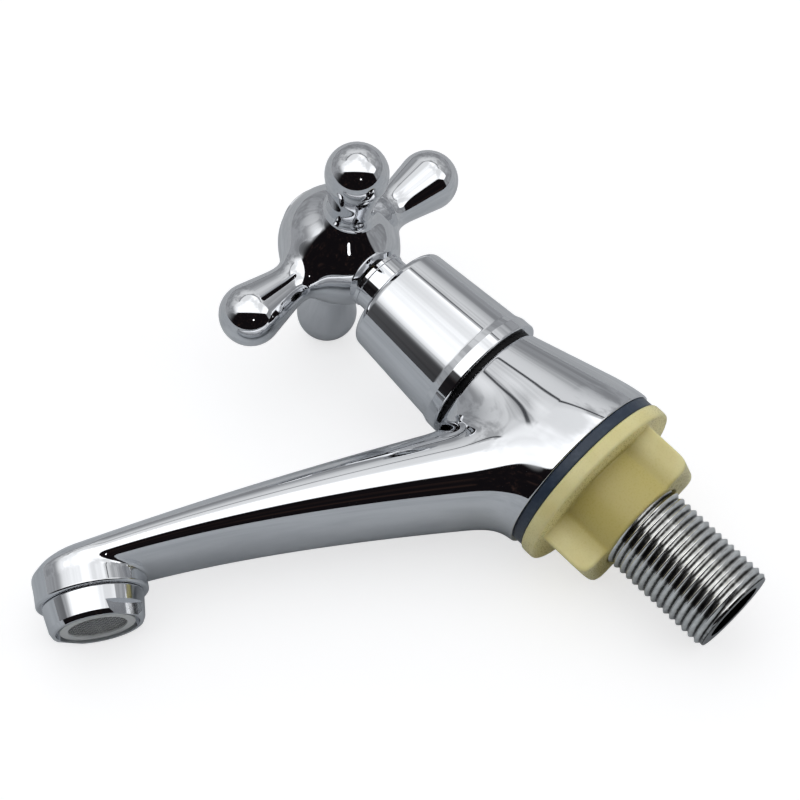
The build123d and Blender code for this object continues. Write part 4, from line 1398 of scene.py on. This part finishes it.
@dataclass
class Aerator:
    """Threaded shell with two spanner flats, and the woven mesh in its mouth."""

    outlet: Bench
    mouth_radius: float = 9.1
    mouth_depth: float = 1.5
    lip_radius: float = 8.2
    lip_top: float = 2.5
    foot_inner: float = 9.9
    foot_radius: float = 10.4
    foot_edge: float = 1.0
    rim_radius: float = 11.1
    rim_level: float = 6.35
    thread_radius: float = 9.9
    thread_top: float = 10.6
    bore_radius: float = 9.0
    flat_distance: float = 9.3
    flat_height: float = 3.0
    flat_turn: float = 48.0
    mesh_level: float = 0.95
    mesh_radius: float = 6.85
    wire_pitch: float = 0.78
    wire_radius: float = 0.10

    FLAT_COLUMNS = 24
    ROUND_COLUMNS = 40
    FOOT_SLANT = 0.5
    WALL_SLANT = 0.13
    WIRE_SIDES = 6
    STEPS_PER_PITCH = 4

    def wall_radius(self, level: float) -> float:
        """Give the outer wall's radius at a level."""
        if level < self.foot_edge:
            return self.foot_inner + (self.foot_radius - self.foot_inner) * level / self.foot_edge
        share = (level - self.foot_edge) / (self.rim_level - self.foot_edge)
        return self.foot_radius + (self.rim_radius - self.foot_radius) * share

    def build(self) -> None:
        """Make and dress the shell and its mesh."""
        self.build_shell()
        self.build_mesh()

    def build_shell(self) -> None:
        """Make the shell, its lower wall cut by the two flats."""
        shell = Surface()
        levels = (0.0, self.foot_edge, self.flat_height)
        columns = []
        for level in levels:
            half = math.acos(self.flat_distance / self.wall_radius(level))
            columns.append((np.linspace(-half, half, self.FLAT_COLUMNS + 1),
                            np.linspace(half, math.pi - half, self.ROUND_COLUMNS + 1)))
        heading = math.radians(self.flat_turn)
        down = np.array((0.0, 0.0, -1.0))

        def lay(rows: Sequence[Points], aims: Points) -> None:
            """Add rows of local points, which face one way or each its own, to the shell."""
            spots = np.stack(rows)
            aims = np.broadcast_to(aims, spots.shape)
            shell.grid(self.outlet.place(spots), self.outlet.aim(aims), closed=False)

        for turn in (0.0, math.pi):
            flat_rows, side_rows, side_aims = [], [], []
            for level, (flat, side) in zip(levels, columns):
                flat_spots = self.flat_distance / np.cos(flat)
                side_spots = np.full_like(side, self.wall_radius(level))
                flat_rows.append(self.column(flat_spots, flat + heading + turn, level))
                side_rows.append(self.column(side_spots, side + heading + turn, level))
                side_aims.append(self.column(np.ones_like(side), side + heading + turn, 0.0))
            lay(flat_rows, self.column(np.ones(1), np.array((heading + turn,)), 0.0))
            lay(side_rows[:2], np.stack(side_aims[:2]) + self.FOOT_SLANT * down)
            lay(side_rows[1:], np.stack(side_aims[1:]) + self.WALL_SLANT * down)
            flat = columns[-1][0]
            wall = np.full_like(flat, self.wall_radius(self.flat_height))
            lay((flat_rows[-1], self.column(wall, flat + heading + turn, self.flat_height)), down)
            for row, turns in zip((flat_rows[0], side_rows[0]), columns[0]):
                inner = np.full_like(turns, self.mouth_radius)
                lay((row, self.column(inner, turns + heading + turn, 0.0)), down)
        low_turns, top_turns = (np.concatenate([part[:-1] + heading + turn
                                                for turn in (0.0, math.pi) for part in row])
                                for row in (columns[0], columns[-1]))
        rest = (((self.wall_radius(self.flat_height), self.flat_height),
                 (self.rim_radius, self.rim_level, 0.35), (self.thread_radius, self.rim_level),
                 (self.thread_radius, self.thread_top), (self.bore_radius, self.thread_top),
                 (self.bore_radius, self.lip_top)),
                ((self.bore_radius, self.lip_top), (self.lip_radius, self.lip_top),
                 (self.lip_radius, self.mouth_depth)),
                ((self.lip_radius, self.mouth_depth), (self.mouth_radius, self.mouth_depth),
                 (self.mouth_radius, 0.0)))
        for corners, turns in zip(rest, (top_turns, top_turns, low_turns)):
            shell.turn(self.outlet, corners, angles=turns)
        shell.piece("aerator_ring", Body.TAP, CHROME, "aerator_shell")

    @staticmethod
    def column(radii: Points, turns: Points, level: float) -> Points:
        """Give local points from radii, turns and a level."""
        spots = (radii * np.cos(turns), radii * np.sin(turns), np.full_like(radii, level))
        return np.stack(spots, axis=-1)

    def build_mesh(self) -> None:
        """Weave the mesh from wavy wires in two directions."""
        screen = Surface()
        count = int(self.mesh_radius / self.wire_pitch)
        sides = np.linspace(0.0, 2 * math.pi, self.WIRE_SIDES, endpoint=False)
        for direction in range(2):
            for wire in range(-count, count + 1):
                offset = wire * self.wire_pitch
                reach = math.sqrt(max(self.mesh_radius ** 2 - offset ** 2, 0.0)) - self.wire_radius
                if reach < self.wire_pitch:
                    continue
                steps = max(6, round(2 * reach / self.wire_pitch * self.STEPS_PER_PITCH))
                along = np.linspace(-reach, reach, steps + 1)[:, None]
                phase = math.pi * (along / self.wire_pitch + wire + direction)
                wave = np.cos(phase) * self.wire_radius
                aims = np.stack((np.zeros_like(along + sides), np.cos(sides) + 0 * along,
                                 np.sin(sides) + 0 * along), axis=-1)
                middle = np.stack((along + 0 * sides, np.full_like(along + sides, offset),
                                   self.mesh_level + wave + 0 * sides), axis=-1)
                if direction:
                    aims, middle = aims[..., (1, 0, 2)], middle[..., (1, 0, 2)]
                rows = middle + aims * self.wire_radius
                rows = np.concatenate((middle[:1], rows, middle[-1:]))
                aims = np.concatenate((aims[:1], aims, aims[-1:]))
                screen.grid(self.outlet.place(rows), self.outlet.aim(aims))
        screen.piece("woven_mesh", Body.TAP, STEEL, "aerator_mesh")


NODE_FINISHES: dict[str, Finish] = {
    "spout_body": CHROME,
    "threaded_shank": NICKEL,
    "shank_seal": BLACK_RUBBER,
    "base_washer": NAVY_RUBBER,
    "back_nut": IVORY_PLASTIC,
    "seat_seal": BLACK_RUBBER,
    "fixed_disc": CERAMIC,
    "moving_disc": CERAMIC,
    "headwork_body": BRASS,
    "headwork_seal": BLACK_RUBBER,
    "thrust_washer": SLIP_PLASTIC,
    "spindle": BRASS,
    "spindle_o_rings": BLACK_RUBBER,
    "spindle_clip": STEEL,
    # The gap ring's near-black finish is painted shade.
    "gap_ring": GAP_SHADE_BLACK,
    "sleeve": CHROME,
    "guide_ring": BLACK_RUBBER,
    "handle": CHROME,
    "handle_screw": STEEL,
    "index_cap": CHROME,
    "index_dot": BLUE_PLASTIC,
    "aerator_shell": CHROME,
    "aerator_seal": BLACK_RUBBER,
    "aerator_cage": GREY_PLASTIC,
    # The diffuser's near-black finish is painted shade behind the mesh.
    "flow_diffuser": DIFFUSER_SHADE_PLASTIC,
    "aerator_mesh": STEEL,
}


@dataclass(frozen=True)
class Sky:
    """Where light comes from, and that direction's shares along the stage's own axes."""

    graph: Graph
    direction: Socket
    across: Socket
    ahead: Socket
    rise: Socket


@dataclass
class Studio:
    """Table, light tent and camera."""

    up: Vector
    towards_camera: Vector
    sideways: Vector
    table_level: float = -0.021476
    table_near: float = 0.30
    table_far: float = 1.2
    table_side: float = 1.2
    eye: Triple = (0.4753, -0.14281, -0.09141)
    gaze: Triple = (-0.933, 0.2474, 0.2612)
    eye_right: Triple = (-0.0068, 0.7138, -0.7004)
    focal_pixels: float = 2302.9
    image_pixels: float = 800.0
    sensor: float = 36.0

    # The table as the camera, the metal near and far, and the other pieces see it. In the metal the
    # near part is darker and bluer, painted shade where the tent opens towards the camera.
    TABLE_GLOW = 0.67
    TABLE_SEEN = (0.50, 0.50, 0.51)
    TABLE_NEAR_SHADE = (0.58, 0.605, 0.63)
    TABLE_FAR = (0.64, 0.65, 0.66)
    TABLE_PATCHES = (0.30, 0.32, 0.35)
    TABLE_PLAIN = (0.80, 0.80, 0.80)
    PATCH_SHARE = 0.35
    NEARING = (-0.14, 0.02)
    # The tent's cloth, and how high its back seam lies.
    CEILING_TINT = (0.99, 1.0, 1.01)
    CEILING_DIM, CEILING_BRIGHT = 0.90, 1.6
    CEILING_FRONT = (0.60, 0.66)
    CEILING_AT_SIDE, CEILING_AT_LEFT, CEILING_AT_BACK = (0.36, 0.42), (0.44, 0.76), (0.815, 0.85)
    WALL_LOW = (0.36, 0.37, 0.385)
    WALL_HIGH = (0.78, 0.79, 0.80)
    CREASE = (0.17, 0.175, 0.185)
    CREASE_SHARE = 0.55
    SEAM = (0.07, 0.073, 0.08)
    SEAM_ENTER, SEAM_LEAVE = (0.776, 0.786), (0.794, 0.804)
    # The opening: its top as rise over distance, and its sides as turns in degrees. The
    # curtain at its left is wider where the light comes from high up.
    OPENING_TOP = (1.50, 1.60)
    OPENING_RIGHT = (70.0, 73.0)
    OPENING_BEHIND = -0.08
    CURTAIN_RISE = (0.36, 0.52)
    CURTAIN_LOW, CURTAIN_HIGH, CURTAIN_END = -92.0, -66.0, -57.0
    # The room in front and its lamp, whose place and radii are in degrees.
    ROOM_DARK = (0.006, 0.005, 0.006)
    ROOM_THINGS = (0.038, 0.022, 0.018)
    LAMP_LIGHT = (3.0, 3.0, 3.0)
    LAMP_LIFT, LAMP_TURN = 29.5, 17.0
    LAMP_EDGE, LAMP_CORE = 2.9, 1.8
    WHITE = (1.0, 1.0, 1.0)
    # The least share that is divided by.
    SMALL = 0.001

    def table(self) -> None:
        """Lay the table under the tap, seen from its upper side alone."""
        mesh = bpy.data.meshes.new("table")
        middle = self.up * self.table_level
        near, far = self.towards_camera * self.table_near, self.towards_camera * -self.table_far
        left, right = self.sideways * -self.table_side, self.sideways * self.table_side
        corners = [middle + near + left, middle + near + right,
                   middle + far + right, middle + far + left]
        mesh.from_pydata(corners, [], [(0, 1, 2, 3)])
        mesh.update()
        if mesh.polygons[0].normal.dot(self.up) < 0:
            mesh.flip_normals()
        table = bpy.data.objects.new("table", mesh)
        bpy.context.scene.collection.objects.link(table)
        mesh.materials.append(self.table_material())

    def table_material(self) -> bpy.types.Material:
        """Make the table's material, white to the camera and grey in the metal.

        Returns:
            The material.
        """
        made = bpy.data.materials.new("pale_table")
        made.use_nodes = True
        graph = Graph(made.node_tree)
        path = graph.node("ShaderNodeLightPath")
        seen, mirrored = path.outputs["Is Camera Ray"], path.outputs["Is Glossy Ray"]
        # Painted shade: in the metal the table darkens towards the camera side.
        shaded_nearness = graph.ramp(graph.dot(graph.place(), tuple(self.towards_camera)), *self.NEARING)
        in_metal = graph.mix(shaded_nearness, self.TABLE_FAR, self.TABLE_NEAR_SHADE)
        # Random darker patches, which only the metal shows.
        mottle = graph.ramp(graph.noise(34.0, 5.0, roughness=0.6), 0.3, 0.7)
        patched = graph.math("MULTIPLY", mottle, self.PATCH_SHARE)
        in_metal = graph.mix(patched, in_metal, self.TABLE_PATCHES)
        paper = graph.mix(mirrored, self.TABLE_PLAIN, in_metal)
        diffuse = graph.join("ShaderNodeBsdfDiffuse", graph.mix(seen, paper, self.TABLE_SEEN))
        glow = graph.join("ShaderNodeEmission", self.WHITE,
                          graph.math("MULTIPLY", seen, self.TABLE_GLOW))
        lit = graph.join("ShaderNodeAddShader", diffuse, glow)
        clear = graph.join("ShaderNodeBsdfTransparent")
        behind = graph.node("ShaderNodeNewGeometry").outputs["Backfacing"]
        output = graph.node("ShaderNodeOutputMaterial")
        graph.feed(output.inputs["Surface"], graph.join("ShaderNodeMixShader", behind, lit, clear))
        return made

    def tent(self) -> None:
        """Light the tap from a tent: a lit ceiling, grey walls and a dark opening in front."""
        world = bpy.data.worlds.new("light_tent")
        bpy.context.scene.world = world
        world.use_nodes = True
        graph = Graph(world.node_tree)
        direction = graph.node("ShaderNodeTexCoord").outputs["Generated"]
        axes = (self.sideways, self.towards_camera, self.up)
        sky = Sky(graph, direction, *(graph.dot(direction, tuple(axis)) for axis in axes))
        lit = graph.mix(self.opening(sky), self.cloth(sky), self.room(sky))
        lit = graph.mix(self.lamp(sky), lit, self.LAMP_LIGHT)
        seen = graph.node("ShaderNodeLightPath").outputs["Is Camera Ray"]
        background = graph.join("ShaderNodeBackground", graph.mix(seen, lit, self.WHITE))
        output = graph.node("ShaderNodeOutputWorld")
        graph.feed(output.inputs["Surface"], background)

    def cloth(self, sky: Sky) -> Socket:
        """Shade the tent's cloth, lit above, grey at the sides, with a dark seam at the back.

        Args:
            sky: Where the light comes from.

        Returns:
            The cloth's colour.
        """
        graph = sky.graph
        above = graph.math("MAXIMUM", sky.rise, self.SMALL)
        ceiling_y = graph.math("DIVIDE", sky.ahead, above)
        back = graph.ramp(sky.ahead, -0.25, 0.0, 1.0, 0.0)
        left = graph.ramp(sky.across, -0.3, 0.0, 1.0, 0.0)
        starts = zip(self.CEILING_AT_SIDE, self.CEILING_AT_LEFT, self.CEILING_AT_BACK)
        low, high = (graph.blend(back, graph.blend(left, at_side, at_left), at_back)
                     for at_side, at_left, at_back in starts)
        panel = graph.math("MULTIPLY", graph.ramp(sky.rise, low, high),
                           graph.ramp(ceiling_y, *self.CEILING_FRONT, 1.0, 0.0))
        folds = graph.noise(1.6, 3.0, roughness=0.55, place=sky.direction)
        brightness = graph.ramp(folds, 0.34, 0.66, self.CEILING_DIM, self.CEILING_BRIGHT)
        lit = graph.join("ShaderNodeCombineColor", *(graph.math("MULTIPLY", brightness, share)
                                                     for share in self.CEILING_TINT))
        seam = graph.band(sky.rise, self.SEAM_ENTER, self.SEAM_LEAVE)
        walls = graph.mix(graph.ramp(sky.rise, 0.25, 0.74), self.WALL_LOW, self.WALL_HIGH)
        creases = graph.noise(3.2, 4.0, roughness=0.6, place=sky.direction)
        creases = graph.math("MULTIPLY", graph.ramp(creases, 0.42, 0.60), self.CREASE_SHARE)
        walls = graph.mix(creases, walls, self.CREASE)
        shade = graph.mix(graph.math("MULTIPLY", seam, back), walls, self.SEAM)
        return graph.mix(panel, shade, lit)

    def opening(self, sky: Sky) -> Socket:
        """Give how open the tent is towards the camera, with a soft curtain at its left.

        Args:
            sky: Where the light comes from.

        Returns:
            One where the room is seen, zero where the cloth is.
        """
        graph = sky.graph
        turn = graph.math("ARCTAN2", sky.across, sky.ahead)
        in_front = graph.math("MAXIMUM", sky.ahead, self.SMALL)
        steepness = graph.math("DIVIDE", sky.rise, in_front)
        top = graph.ramp(steepness, *self.OPENING_TOP, 1.0, 0.0)
        start = graph.blend(graph.ramp(sky.rise, *self.CURTAIN_RISE),
                            math.radians(self.CURTAIN_LOW), math.radians(self.CURTAIN_HIGH))
        gap = graph.band(turn, (start, math.radians(self.CURTAIN_END)),
                         [math.radians(side) for side in self.OPENING_RIGHT])
        return graph.math("MULTIPLY", graph.math("MULTIPLY", gap, top),
                          graph.math("GREATER_THAN", sky.ahead, self.OPENING_BEHIND))

    def room(self, sky: Sky) -> Socket:
        """Shade the dark room in front of the tent, with a few dim brown things in it.

        Args:
            sky: Where the light comes from.

        Returns:
            The room's colour.
        """
        things = sky.graph.noise(9.0, 6.0, roughness=0.7, place=sky.direction)
        return sky.graph.mix(sky.graph.ramp(things, 0.52, 0.74), self.ROOM_DARK, self.ROOM_THINGS)

    def lamp(self, sky: Sky) -> Socket:
        """Give the place of the room's small lamp, which sparks on the balls and the hub.

        Args:
            sky: Where the light comes from.

        Returns:
            One inside the lamp and zero beside it.
        """
        lift, turn = math.radians(self.LAMP_LIFT), math.radians(self.LAMP_TURN)
        aim = (self.sideways * (math.sin(turn) * math.cos(lift)) + self.up * math.sin(lift)
               + self.towards_camera * (math.cos(turn) * math.cos(lift)))
        edge, core = (math.cos(math.radians(radius)) for radius in (self.LAMP_EDGE, self.LAMP_CORE))
        return sky.graph.ramp(sky.graph.dot(sky.direction, tuple(aim)), edge, core)

    def camera(self) -> None:
        """Stand the camera where the photograph was taken from."""
        data = bpy.data.cameras.new("portrait_camera")
        data.sensor_width = self.sensor
        data.lens = self.focal_pixels / self.image_pixels * self.sensor
        data.clip_start, data.clip_end = 0.01, 10.0
        camera = bpy.data.objects.new("portrait_camera", data)
        bpy.context.scene.collection.objects.link(camera)
        back = -Vector(self.gaze).normalized()
        right = Vector(self.eye_right)
        right = (right - back * right.dot(back)).normalized()
        turned = Matrix((right, back.cross(right), back)).transposed().to_4x4()
        camera.matrix_world = Matrix.Translation(self.eye) @ turned
        bpy.context.scene.camera = camera

    def build(self) -> None:
        """Set up the table, the tent and the camera."""
        self.table()
        self.tent()
        self.camera()
        bpy.context.scene.view_settings.view_transform = "Standard"


def lying_directions() -> tuple[Vector, Vector, Vector]:
    """Give the table's up, camera-side and sideways directions in the tap's frame.

    Returns:
        Three unit vectors, square to each other.
    """
    up = Vector(TABLE_UP).normalized()
    towards = Vector(TO_CAMERA)
    towards = (towards - up * towards.dot(up)).normalized()
    return up, towards, up.cross(towards)


def main() -> None:
    """Dress the tap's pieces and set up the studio."""
    logging.basicConfig(level=logging.INFO, format="%(name)s: %(message)s")
    for node, finish in NODE_FINISHES.items():
        finish.dress(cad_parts[node])
        log.info("dressed %s", node)
    outlet = Bench(OUTLET, OUTLET_TILT)
    pieces: tuple[Piece, ...] = (Casting(outlet), CrossHandle(), Sleeve(), Tail(), BackNut(),
                                 Aerator(outlet))
    for piece in pieces:
        piece.build()
    up, towards, sideways = lying_directions()
    Studio(up, towards, sideways).build()


if __name__ == "__main__":
    main()
